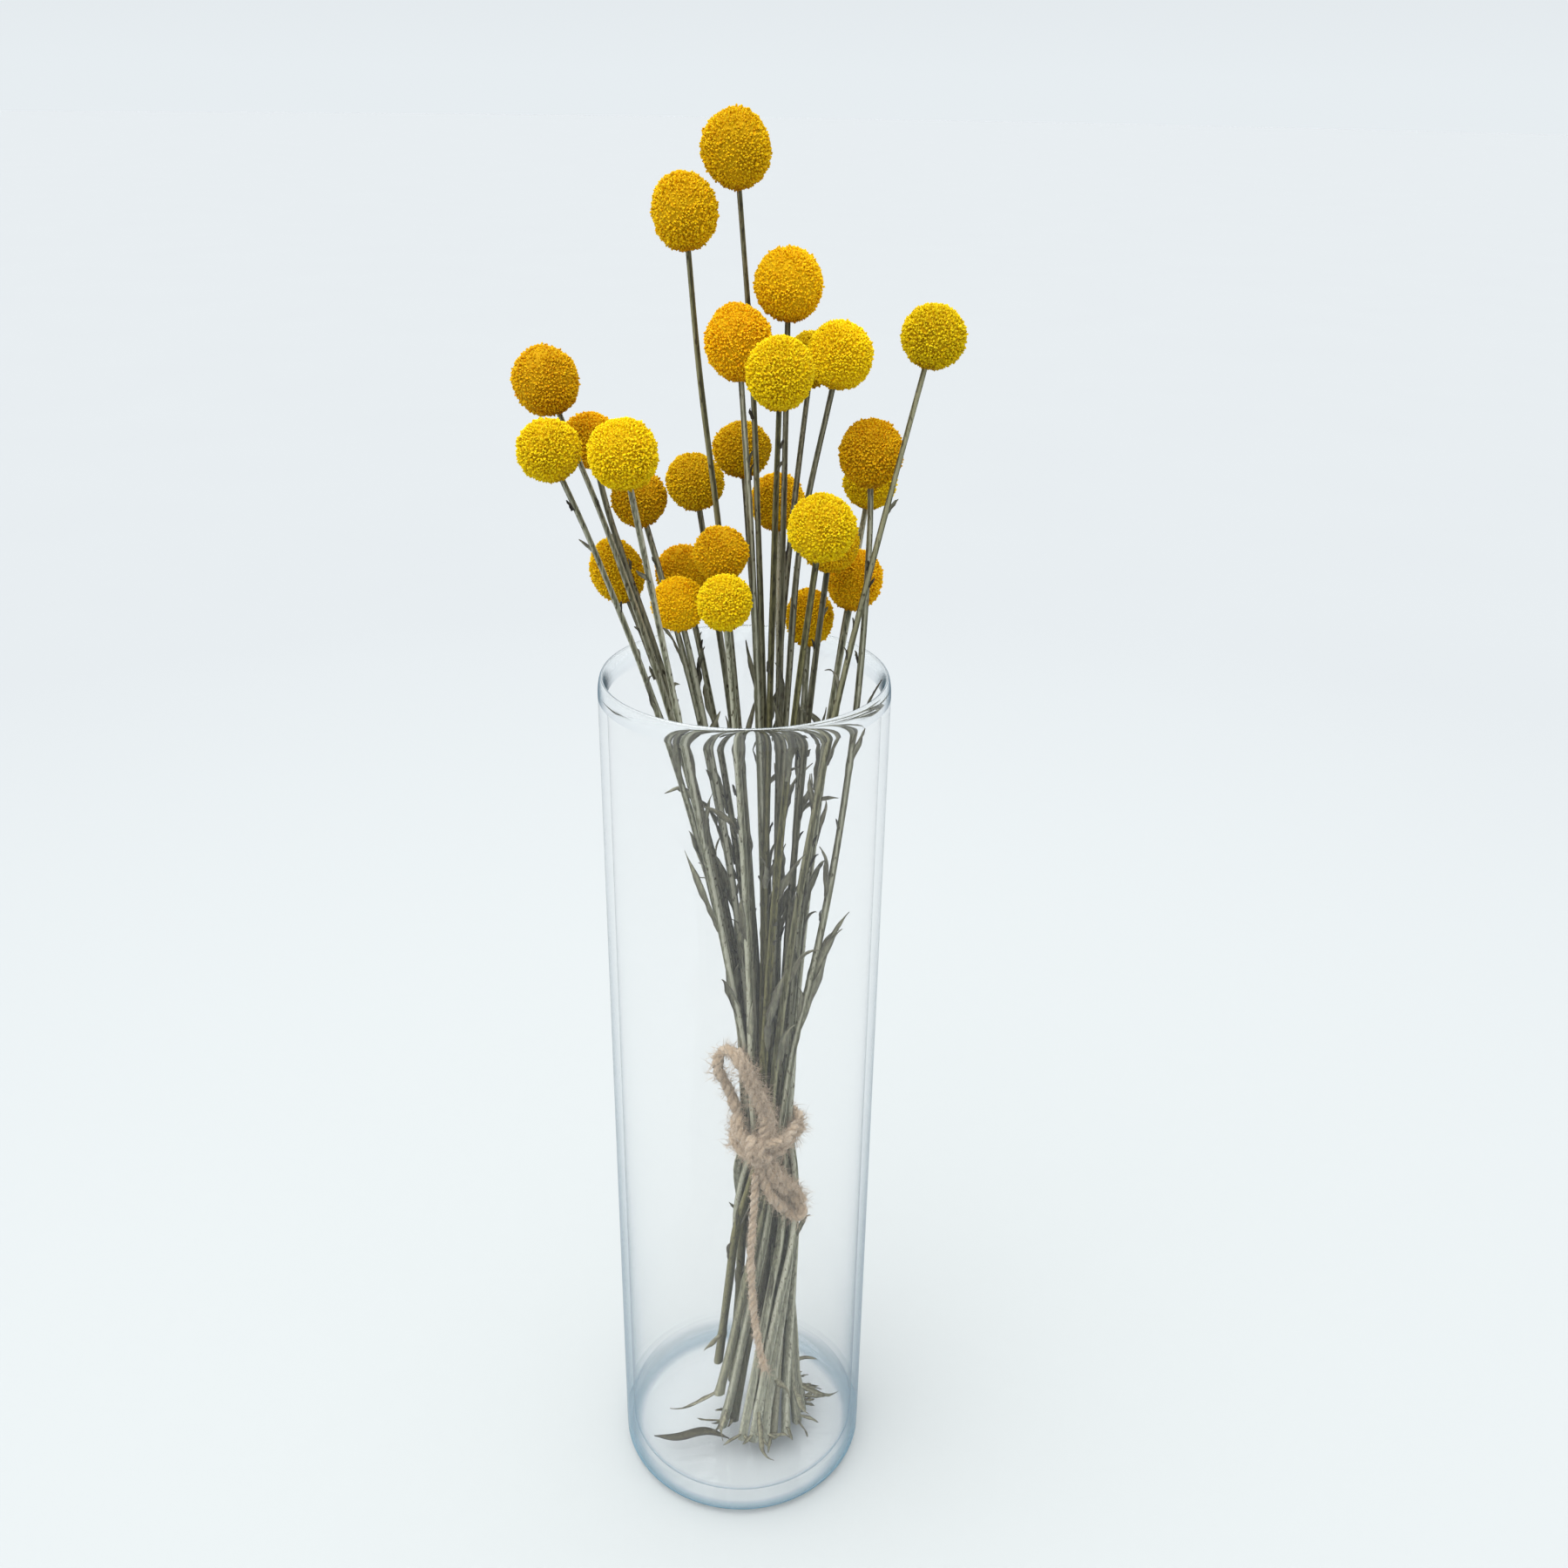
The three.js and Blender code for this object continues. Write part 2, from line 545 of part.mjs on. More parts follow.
function growLeaves(stem, number) {
  const draw = stream(number + 1);
  const top = stem.flower.z - stem.flower.length / 2 - STEM.freeNeck;
  for (const zone of LEAF_ZONES) {
    const wanted = Math.floor(zone.count + draw());
    for (let leaf = 0; leaf < wanted; leaf++) {
      for (let attempt = 0; attempt < LEAF.tries; attempt++) {
        const z = between(draw, [zone.from, zone.to]);
        const heading = between(draw, [0, 2 * Math.PI]);
        const shape = {
          length: between(draw, zone.length), width: between(draw, zone.width),
          angle: between(draw, zone.angle), bend: between(draw, zone.bend),
          roll: between(draw, LEAF_ROLL),
        };
        if (z < top && z > stem.route[0].z + 4 && grow(stem, z, heading, shape)) break;
      }
    }
  }
}

stems.forEach((stem) => { stem.leaves = []; });
growLargeLeaves();
stems.forEach(growLeaves);

// ---------------------------------------------------------------- stems, vase and fallen leaf

// A tapered rod turned on the lathe and then bent along its route.
function leafyStem(stem) {
  const { route, leaves } = stem;
  const profile = route.map(({ z }) => new THREE.Vector2(stemRadius(z), z));
  profile.unshift(new THREE.Vector2(0, route[0].z));
  profile.push(new THREE.Vector2(0, route.at(-1).z));
  const rod = new THREE.LatheGeometry(profile, STEM.sides).rotateX(Math.PI / 2);
  shaped(rod, (vertex) => {
    const { point } = at(route, vertex.z);
    vertex.x += point.x;
    vertex.y += point.y;
  });
  const blades = leaves.map((leaf) => solidOf(leafBlade(leaf)));
  return geometryOf(blades.reduce((sum, blade) => sum.add(blade), solidOf(rod)));
}

// The points of a quarter or half round.
function arc(x, y, radius, from, to) {
  const turnBy = (to - from) / VASE.arcSteps;
  return Array.from({ length: VASE.arcSteps + 1 }, (_, i) => {
    const angle = from + i * turnBy;
    return new THREE.Vector2(x + radius * Math.cos(angle), y + radius * Math.sin(angle));
  });
}

function glassVase() {
  const { radius, height, wall, floor, heel, fillet } = VASE;
  const profile = [
    new THREE.Vector2(0, 0),
    ...arc(radius - heel, heel, heel, -Math.PI / 2, 0),
    ...arc(radius - wall / 2, height - wall / 2, wall / 2, 0, Math.PI),
    ...arc(VASE_BORE - fillet, floor + fillet, fillet, 0, -Math.PI / 2),
    new THREE.Vector2(0, floor),
  ];
  return new THREE.LatheGeometry(profile, VASE.sides).rotateX(Math.PI / 2);
}

// A blade that lies on the vase's floor, arched along its length.
function fallenLeaf() {
  const { left, right, y, width, arch } = FALLEN_LEAF;
  const blade = new THREE.BoxGeometry(right - left, 1, LEAF.thickness, 8, 1, 1);
  return shaped(blade, (vertex) => {
    const s = (2 * vertex.x) / (right - left);
    vertex.y = y + vertex.y * Math.max(LEAF.tipWidth, width * (1 - s * s)) + Math.sin(3 * s);
    vertex.z += VASE_FLOOR.z + LEAF.thickness / 2 + arch * (1 - s * s);
    vertex.x += (left + right) / 2;
  });
}

// ---------------------------------------------------------------- the object

const billyButtons = new THREE.Group();
billyButtons.add(named('glass_vase', glassVase(), 0xe9f2f4, 0.04, { transparent: true, opacity: 0.3 }));
stems.forEach((stem, i) => {
  const number = String(i + 1).padStart(2, '0');
  billyButtons.add(named(`flower_head_${number}`, flowerHead(stem, i), TINTS[stem.flower.tint], 0.95));
  billyButtons.add(named(`flower_stem_${number}`, leafyStem(stem), 0x8b8870, 0.9));
});
billyButtons.add(named('jute_tie', juteTie(), 0xb89a76, 1));
const tailSteps = Math.round(tail.getLength() / TAIL.step);
billyButtons.add(named('jute_tail', tube(tail, TAIL.radius, 8, tailSteps), 0xb89a76, 1));
billyButtons.add(named('fallen_leaf', fallenLeaf(), 0x6f6b5c, 0.95));

export default billyButtons;
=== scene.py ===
import contextlib
import functools
import math

import bpy
import numpy as np
from mathutils import Matrix, Vector


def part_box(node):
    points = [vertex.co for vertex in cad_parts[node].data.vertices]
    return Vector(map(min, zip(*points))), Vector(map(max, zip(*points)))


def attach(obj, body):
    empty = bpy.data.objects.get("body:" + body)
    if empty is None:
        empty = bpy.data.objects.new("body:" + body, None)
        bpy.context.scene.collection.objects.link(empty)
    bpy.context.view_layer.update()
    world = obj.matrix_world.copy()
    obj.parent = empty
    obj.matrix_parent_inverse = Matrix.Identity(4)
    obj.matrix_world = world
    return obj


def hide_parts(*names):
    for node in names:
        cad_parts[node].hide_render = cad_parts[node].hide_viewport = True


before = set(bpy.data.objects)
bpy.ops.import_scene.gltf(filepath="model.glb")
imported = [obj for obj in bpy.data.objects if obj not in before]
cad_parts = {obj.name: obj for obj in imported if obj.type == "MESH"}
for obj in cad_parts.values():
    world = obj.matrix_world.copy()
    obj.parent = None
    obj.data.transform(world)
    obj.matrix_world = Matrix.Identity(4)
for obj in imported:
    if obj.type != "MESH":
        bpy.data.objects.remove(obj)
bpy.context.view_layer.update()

bl_info = {
    "name": "Dried billy buttons in a glass vase",
    "version": (1, 0, 0),
    "blender": (4, 5, 0),
    "location": "View3D > Sidebar > Flowers",
    "description": "Builds a tied bunch of dried globe flowers standing in a glass cylinder vase",
    "category": "Add Mesh",
}

MM = 0.001  # the rules below are in millimetres, and every mesh is in metres

# ------------------------------------------------------------ the frame's own measures, in mm

CLEAR = 0.3  # between two pieces that touch
VASE_RADIUS, VASE_HEIGHT, VASE_WALL, VASE_FLOOR = 50, 350, 3, 8
BORE = VASE_RADIUS - VASE_WALL
FLOOR_REACH = BORE - 5  # how wide the flat of the vase's floor is
FLOOR_TOP = VASE_FLOOR + CLEAR

# Each flower head: x, y, z, width, length and tint.
FLOWERS = [
    (-3, 0, 514, 21, 23.5, "golden"), (-18, -5, 497, 20.5, 23, "golden"),
    (13, 2, 476, 22, 23, "golden"), (57, -10, 463, 20, 20, "lemon"),
    (-2, -7, 460, 21.5, 24, "amber"), (29, -4, 456, 21.5, 21.5, "lemon"),
    (11, -30, 455, 21, 22.5, "lemon"), (21, 30, 449, 18.5, 18.5, "lemon"),
    (-62, -4, 447, 21.5, 22.5, "amber"), (-59, -24, 430, 20.5, 20, "lemon"),
    (-36, -28, 430, 22, 22, "lemon"), (-51, 12, 425, 19.5, 19, "amber"),
    (40, 0, 425, 21.5, 22, "amber"), (-2, 29, 419, 20.5, 19.5, "golden"),
    (-17, 12, 412, 20, 19.5, "golden"), (24, -34, 410, 21.5, 21.5, "lemon"),
    (42, 34, 407, 19, 19, "lemon"), (-36, 16, 405, 19.5, 19.5, "amber"),
    (10, 45, 397, 20, 21, "golden"), (28, 0, 396, 20, 21, "golden"),
    (-7.5, -10, 394.5, 18.5, 18.5, "amber"), (-5.5, -30, 384.5, 18, 18.5, "lemon"),
    (37, 16, 378, 19.5, 22, "amber"), (-45, 22, 378, 19, 23.5, "golden"),
    (-23, 30, 376, 19.5, 19, "amber"), (-22, -4, 375, 18.5, 19, "golden"),
    (22, 22, 362, 17.5, 21.5, "golden"),
]
# How bright each head is, in the same order: partly its own fading, partly painted light and shade for
# how the light falls on it.
HEAD_FADE_AND_SHADE = [0.73, 0.77, 0.87, 0.7, 0.87, 0.88, 0.78, 0.68, 0.69, 0.78, 0.83, 0.82, 0.72, 0.64, 0.64,
             0.77, 0.76, 0.64, 0.8, 0.76, 0.72, 0.79, 0.84, 0.74, 0.82, 0.92, 0.86]
SOCKET_DEPTH = 4  # how far a stem stands in its head
# The heights at which the stems are shaped, and the least that the last one lies below its head.
LEVELS = [8.3, 25, 50, 80, 110, 136, 157, 178, 200, 228, 262, 305, 350, 400, 450]
FREE_NECK = 9

LEAF_ROOT, LEAF_TIP = 1.4, 0.7  # a leaf's width at its ends
LEAF_REACH = 0.85  # how far a leaf keeps off what it grows past
LEAF_OFF_TWINE, LEAF_OFF_FLOOR, LEAF_OFF_RIM = 0.6, 0.2, 3
FALLEN_TOP, FALLEN_REACH = 14, 5  # the room that the fallen leaf needs
LEAF_OFF_STEM = 1.06  # from another stem's middle, in stem radii, with LEAF_REACH added
LEAF_APART = 2.4  # from one leaf's samples to another's
LEAF_TRIES, LEAF_ROLL = 16, (-1.2, 1.2)
BLADE_COLUMNS = 7  # corners across a drawn blade
# Leaves up a stem: from and to which height, how many on average, and the ranges of their length,
# width, angle to the stem and further bend by the tip.
LEAF_ZONES = [
    (16, 45, 0.4, (12, 20), (2.2, 3.2), (0.7, 1.5), (0.3, 1.2)),
    (60, 125, 0.4, (10, 20), (1.8, 2.8), (0.1, 0.3), (0.1, 0.7)),
    (190, 255, 0.9, (16, 32), (2.2, 3.6), (0.1, 0.2), (0.1, 1)),
    (255, 345, 1, (12, 26), (1.8, 3), (0.12, 0.35), (0.3, 2.2)),
    (360, 480, 0.4, (5, 9), (1.5, 2), (0.25, 0.5), (0.2, 1)),
]
# Large leaves: height, heading, length, width, angle, bend, roll.
LARGE_LEAVES = [
    (204, 0, 52, 5, 0.08, 0.1, 1.1), (222, 0.1, 40, 3, 0.1, 0.35, 0.9),
    (196, math.pi, 36, 2, 0.2, 0.1, 0.8), (24, -1.5, 26, 2.6, 2.0, -0.35, 0),
    (22, -0.2, 18, 2, 2.1, -0.4, 0), (26, -2.7, 22, 1.8, 2.1, -0.3, 0),
]
FALLEN_LEAF = (-37, -5, -19, 4.6, 1.5)  # left, right, y, width, arch

TWINE_RADIUS, TWINE_STEP, TWINE_GAP = 1.8, 3.6, 0.2
TURN_STEPS = 22
CLUSTERS, CLUSTER_REACH = 95, 0.21  # clusters of florets on a head, and their radius in radians
GOLDEN_ANGLE = 3 - math.sqrt(5)  # in half turns
PLIES, PLY_SIDES = 3, 7
TURNS = [(161, 160, 159.5, 157.5), (157.2, 156, 153, 153.5)]  # right, behind, left, front
KNOT = (6.5, 156.5)
LOOPS = [
    [(5, 154), (0.5, 160), (-2.5, 171), (-6.6, 182), (-9.8, 190), (-8.4, 197), (-4.2, 199.5),
     (-0.4, 195), (2.4, 187.5), (6, 179), (8.6, 169.5), (8, 159)],
    [(9, 153), (12.8, 143), (17.5, 134.5), (22.6, 126), (24, 121.5), (19.5, 122.5), (14.6, 130),
     (9, 141), (6, 152)],
]
TAIL = [(5.2, -15.9, 147.6), (4.8, -15.9, 134), (4.2, -16.6, 122), (3.6, -17.2, 108),
        (4, -17.6, 94), (4.9, -18, 80), (6.2, -18.6, 68), (8, -19, 57), (9.6, -19, 49)]


def linear(value):
    """An sRGB hex colour as the linear RGBA that a shader takes."""
    parts = [(value >> shift & 255) / 255 for shift in (16, 8, 0)]
    return (*(p / 12.92 if p <= 0.04045 else ((p + 0.055) / 1.055) ** 2.4 for p in parts), 1.0)


# ------------------------------------------------------------ sizes and colours to change


def size(name, description, default):
    return bpy.props.FloatProperty(
        name=name, description=description, default=default, subtype="DISTANCE", unit="LENGTH",
        precision=5)


def colour(name, description, value):
    return bpy.props.FloatVectorProperty(
        name=name, description=description, default=linear(value), size=4, subtype="COLOR",
        min=0, max=1)


class FlowerSizes(bpy.types.PropertyGroup):
    floret_spacing: size("Floret spacing", "From one floret's middle to the next", 0.00076)
    floret_length: size("Floret length", "How far a floret stands out of the head's core", 0.0019)
    cluster_depth: size("Cluster depth", "How deep the valleys between clusters of florets are",
                        0.0003)


class StemSizes(bpy.types.PropertyGroup):
    foot_radius: size("Foot radius", "A stem's radius at its cut foot", 0.0021)
    neck_radius: size("Neck radius", "A stem's radius under its head", 0.00088)
    furrow: size("Furrow", "How deep the furrows along a stem are", 0.00022)
    leaf_thickness: size("Leaf thickness", "Thickness of a dried leaf blade", 0.0003)


class TwineSizes(bpy.types.PropertyGroup):
    radius: size("Twine radius", "Radius of the jute twine in the bow", 0.0021)
    tail_radius: size("Tail radius", "Radius of the twine where it hangs free", 0.0015)
    lay_length: size("Lay length", "Length of one full twist of the plies", 0.011)
    fuzz: size("Fuzz", "How far loose fibres stand off the twine", 0.0021)


class VaseSizes(bpy.types.PropertyGroup):
    wall: size("Wall", "Thickness of the glass wall", VASE_WALL * MM)
    floor: size("Floor", "Thickness of the glass floor", VASE_FLOOR * MM)
    heel: size("Heel round", "Round of the foot's outer edge", 0.005)
    fillet: size("Inner round", "Round where the inner wall meets the floor", 0.005)
    lip: size("Lip", "How far down the rim's round reaches", 0.007)
    clear_from: size("Straight from", "Height where the foot's thick glass ends", 0.014)


class Finishes(bpy.types.PropertyGroup):
    golden: colour("Golden florets", "Flank of a golden floret", 0xF9C600)
    lemon: colour("Lemon florets", "Flank of a lemon floret", 0xFBDA05)
    amber: colour("Amber florets", "Flank of an amber floret", 0xF9BC00)
    floret_tip: colour("Floret tips", "Bleached mouth of a floret", 0xF6E02C)
    # Painted shade for the gaps between florets.
    floret_gap_shade: colour("Floret gaps", "Shaded brown between florets", 0xBC9008)
    # Stem ridge and furrow colours: over the stem's own streaks, lighter ridges and darker furrows are
    # painted light and shade.
    stem_light: colour("Stem ridge", "Weathered ridges of a stem", 0xB2B2A0)
    stem_dark_and_shade: colour("Stem furrow", "Furrows of a stem", 0x2F2D22)
    leaf_light: colour("Leaf", "Sunlit side of a dried leaf", 0x98977F)
    leaf_dark: colour("Leaf shade", "Browned parts of a dried leaf", 0x4C483A)
    jute_light: colour("Jute", "Pale jute fibre", 0xBCAC98)
    # Painted shade between the plies.
    jute_ply_shade: colour("Jute shade", "Shaded jute between the plies", 0x67584A)
    glass: colour("Glass", "Tint of the clear glass", 0xFDFEFF)
    # The glass's own edge-on tint, and painted reflection where the glass turns away.
    glass_edge_tint_and_reflection: colour("Glass edge", "Tint of the glass seen edge-on", 0x48616F)
    floor: colour("Floor", "Pale studio floor", 0xA7ACAD)


class BouquetSettings(bpy.types.PropertyGroup):
    flowers: bpy.props.PointerProperty(type=FlowerSizes, name="Flowers")
    stems: bpy.props.PointerProperty(type=StemSizes, name="Stems")
    twine: bpy.props.PointerProperty(type=TwineSizes, name="Twine")
    vase: bpy.props.PointerProperty(type=VaseSizes, name="Vase")
    finishes: bpy.props.PointerProperty(type=Finishes, name="Finishes")


def settings():
    return bpy.context.scene.bouquet


# ------------------------------------------------------------ small tools


def stream(seed):
    """A repeatable stream of numbers from 0 to 1 (Park and Miller's minimal generator)."""
    state = seed * 7919 + 17
    while True:
        state = state * 16807 % 2147483647
        yield state / 2147483647


def between(draw, span):
    return span[0] + (span[1] - span[0]) * next(draw)


def mix(a, b, t):
    return a + (b - a) * t


def unit(v):
    return v / np.linalg.norm(v, axis=-1, keepdims=True)


def stem_radius(z):
    return mix(1.65, 1.08, np.clip(np.asarray(z) / 440, 0, 1))


class Curve:
    """A smooth curve through points: centripetal, or closed with a slack of 0.2."""

    def __init__(self, points, closed=False):
        p = np.asarray(points, float)
        ends = (p[-1], p[0], p[1]) if closed else (2 * p[0] - p[1],)
        after = (p[0], p[1]) if closed else (2 * p[-1] - p[-2],)
        p = np.vstack([ends[0], p, *after])
        p0, p1, p2, p3 = p[:-3], p[1:-2], p[2:-1], p[3:]
        if closed:
            t1, t2 = 0.2 * (p2 - p0), 0.2 * (p3 - p1)
        else:
            d0, d1, d2 = (np.sqrt(np.linalg.norm(b - a, axis=1))[:, None]
                          for a, b in ((p0, p1), (p1, p2), (p2, p3)))
            t1 = ((p1 - p0) / d0 - (p2 - p0) / (d0 + d1) + (p2 - p1) / d1) * d1
            t2 = ((p2 - p1) / d1 - (p3 - p1) / (d1 + d2) + (p3 - p2) / d2) * d1
        self.terms = (p1, t1, 3 * (p2 - p1) - 2 * t1 - t2, 2 * (p1 - p2) + t1 + t2)
        self.runs = len(p1)
        self.marks = self.at(np.linspace(0, 1, 201))
        self.lengths = np.insert(np.cumsum(np.linalg.norm(np.diff(self.marks, axis=0), axis=1)), 0, 0)
        self.length = self.lengths[-1]

    def at(self, t):
        place = np.asarray(t) * self.runs
        i = np.clip(np.floor(place).astype(int), 0, self.runs - 1)
        w = (place - i)[:, None]
        c0, c1, c2, c3 = (term[i] for term in self.terms)
        return c0 + w * (c1 + w * (c2 + w * c3))

    def spaced(self, count):
        """count + 1 points, evenly spaced along the curve."""
        share = np.interp(np.linspace(0, self.length, count + 1), self.lengths, np.linspace(0, 1, 201))
        return self.at(share)


def at(route, z):
    """The points of a stem's route at some heights, and its directions there."""
    z = np.atleast_1d(np.asarray(z, float))
    i = np.searchsorted(route[1:-1, 2], z, side="left")
    along = route[i + 1] - route[i]
    t = np.clip((z - route[i, 2]) / along[:, 2], 0, 1)[:, None]
    return route[i] + along * t, unit(along)


def deselect():
    for thing in bpy.context.selected_objects:
        thing.select_set(False)
    bpy.context.view_layer.objects.active = None


def pick(piece):
    deselect()
    piece.select_set(True)
    bpy.context.view_layer.objects.active = piece


@contextlib.contextmanager
def editing():
    """Edit mode with everything selected, and object mode again afterwards."""
    bpy.ops.object.mode_set(mode="EDIT")
    bpy.ops.mesh.select_all(action="SELECT")
    yield
    bpy.ops.object.mode_set(mode="OBJECT")


def started(name):
    """Names the primitive that was just added, and settles its place into its mesh."""
    piece = bpy.context.object
    piece.name = piece.data.name = name
    bpy.ops.object.transform_apply(location=True, rotation=True, scale=True)
    return piece


def corners(piece):
    """A piece's corners, in millimetres."""
    spots = np.empty(len(piece.data.vertices) * 3)
    piece.data.vertices.foreach_get("co", spots)
    return spots.reshape(-1, 3) / MM


def taken(template):
    """A template's corners in mm, and its faces; the template itself goes."""
    spots = corners(template)
    faces = [list(face.vertices) for face in template.data.polygons]
    bpy.data.objects.remove(template)
    return spots, faces


def belongs(piece, node_name):
    """Fixes a piece to the one body, in the place of a node of the frame, with a colour slot."""
    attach(piece, "root")
    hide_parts(node_name)


def grained(shape, *channels):
    """Per-corner colours: the channels given, and 1 in the rest."""
    grain = np.ones((*shape, 4))
    for i, channel in enumerate(channels):
        grain[..., i] = channel
    return grain


def shells(name, parts, finishes):
    """A piece from (corners in mm, faces, per-corner colour, finish number) parts, as its own mesh."""
    spots, faces, grains, kinds, base = [], [], [], [], 0
    for points, rings, grain, kind in parts:
        spots.append(points)
        faces.extend((np.asarray(ring) + base).tolist() for ring in rings)
        grains.append(grain)
        kinds.extend([kind] * len(rings))
        base += len(points)
    mesh = bpy.data.meshes.new(name)
    mesh.from_pydata((np.vstack(spots) * MM).tolist(), [], faces)
    grain = mesh.attributes.new("grain", "FLOAT_COLOR", "POINT")
    grain.data.foreach_set("color", np.ascontiguousarray(np.vstack(grains), np.float32).ravel())
    for finish in finishes:
        mesh.materials.append(finish)
    mesh.polygons.foreach_set("material_index", kinds)
    mesh.update()
    piece = bpy.data.objects.new(name, mesh)
    bpy.context.collection.objects.link(piece)
    return piece


def frames_along(points):
    """Directions along a route, and two across it that twist as little as they can."""
    along = unit(np.gradient(points, axis=0))
    first = np.cross(along[0], (0.3, 1, 0.2))
    aside = [first / np.linalg.norm(first)]
    for direction in along[1:]:
        next_one = aside[-1] - direction * aside[-1].dot(direction)
        aside.append(next_one / np.linalg.norm(next_one))
    aside = np.array(aside)
    return along, aside, np.cross(along, aside)


def tube_faces(rings, sides):
    """Faces of a tube whose corners are rings of so many sides, one ring after the other."""
    ring, side = np.mgrid[0:rings - 1, 0:sides]
    here, beside = ring * sides + side, ring * sides + (side + 1) % sides
    faces = np.stack([here, beside, beside + sides, here + sides], -1).reshape(-1, 4).tolist()
    faces.append(list(range(sides))[::-1])
    faces.append(list(range((rings - 1) * sides, rings * sides)))
    return faces


def sheet_faces(rows, columns):
    """Faces of a sheet of corners that lie row after row."""
    i, j = np.mgrid[0:rows - 1, 0:columns - 1]
    here = i * columns + j
    return np.stack([here, here + 1, here + columns + 1, here + columns], -1).reshape(-1, 4)


def level_way(heading):
    return np.array((math.cos(heading), math.sin(heading), 0))


# ------------------------------------------------------------ stems' routes, twine and leaves


def stem_route(number):
    """Reads a stem's route from the frame: the middle of its five-sided ring at each level."""
    x, y, z, _, length, _ = FLOWERS[number]
    solid = corners(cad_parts[f"flower_stem_{number + 1:02}"])
    turns = np.arange(5) * 2 * math.pi / 5
    spokes = np.stack([np.sin(turns), -np.cos(turns)], 1)
    route = []
    for level in [v for v in LEVELS if v < z - length / 2 - FREE_NECK][1 if number % 6 == 3 else 0:]:
        ring = solid[np.abs(solid[:, 2] - level) < 0.004][:, :2]
        guesses = (ring[:, None] - spokes * stem_radius(level)).reshape(-1, 2)
        near = np.linalg.norm(guesses[:, None] - guesses, axis=2) < 0.02
        best = near[near.sum(1).argmax()]
        route.append((*guesses[best].mean(0), level))
    middle = np.array((x, y, z), float)
    along = unit(middle - route[-1])
    route.append(middle + along * (SOCKET_DEPTH - length / 2))
    return np.array(route)


def front(routes, x, z):
    """The furthest back that the twine's middle can lie at x and z and still pass in front."""
    places = [-5.0]
    for route in routes:
        if z > route[0, 2] - TWINE_RADIUS:
            point = at(route, z)[0][0]
            reach = stem_radius(z) + TWINE_RADIUS + CLEAR + TWINE_GAP
            across = abs(point[0] - x)
            if across < reach:
                places.append(point[1] - math.sqrt(reach * reach - across * across))
    return min(places)


def laid_over(routes, outline):
    """A loop of the bow, laid over the front of the stems."""
    plan = Curve([(x, 0, z) for x, z in outline])
    spots = plan.spaced(round(plan.length / TWINE_STEP))
    for spot in spots:
        spot[1] = min(front(routes, spot[0] + dx, spot[2] + dz)
                      for dx in (-TWINE_RADIUS, 0, TWINE_RADIUS)
                      for dz in (-TWINE_RADIUS, 0, TWINE_RADIUS))
    return spots


def turn_round(routes, turn):
    """One turn of twine, drawn tight round the outermost stems."""
    right, behind, left, ahead = turn
    spots = []
    for i in range(TURN_STEPS):
        angle = i / TURN_STEPS * 2 * math.pi
        cos, sin = math.cos(angle), math.sin(angle)
        z = ((right + left + behind + ahead) / 4
             + (right + left - behind - ahead) / 4 * math.cos(2 * angle)
             + (right - left) / 2 * cos + (behind - ahead) / 2 * sin)
        near = np.vstack([at(route, [z - TWINE_RADIUS, z, z + TWINE_RADIUS])[0] for route in routes])
        point = near[(near[:, 0] * cos + near[:, 1] * sin).argmax()]
        reach = stem_radius(z) + CLEAR + TWINE_GAP + TWINE_RADIUS
        spots.append((point[0] + cos * reach, point[1] + sin * reach, z))
    return np.array(spots)


def leaf_width(width, s):
    s = np.asarray(s)
    return np.where(s < 0.4, mix(LEAF_ROOT, width, s / 0.4),
                    mix(width, LEAF_TIP, (np.maximum(s - 0.4, 0) / 0.6) ** 1.6))


def leaf_frame(leaf, s):
    """Middles, faces and sides of a leaf at stations s, from its root (0) to its tip (1)."""
    s = np.asarray(s, float)[:, None]
    middle = np.repeat(leaf["root"][None], len(s), 0)
    for i in range(8):
        angle = leaf["angle"] + leaf["bend"] * s * (i + 0.5) / 8
        step = leaf["up"] * np.cos(angle) + leaf["out"] * np.sin(angle)
        middle = middle + step * leaf["length"] * s / 8
    end = leaf["angle"] + leaf["bend"] * s
    along = leaf["up"] * np.cos(end) + leaf["out"] * np.sin(end)
    side = np.cross(leaf["up"], leaf["out"])
    side = side * math.cos(leaf["roll"]) + np.cross(along, side) * math.sin(leaf["roll"])
    return middle, np.cross(side, along), side


def leaf_samples(leaf):
    s = np.arange(1, 13) / 12
    middle, _, side = leaf_frame(leaf, s)
    half = side * leaf_width(leaf["width"], s)[:, None] / 2
    return np.vstack([middle - half, middle, middle + half])


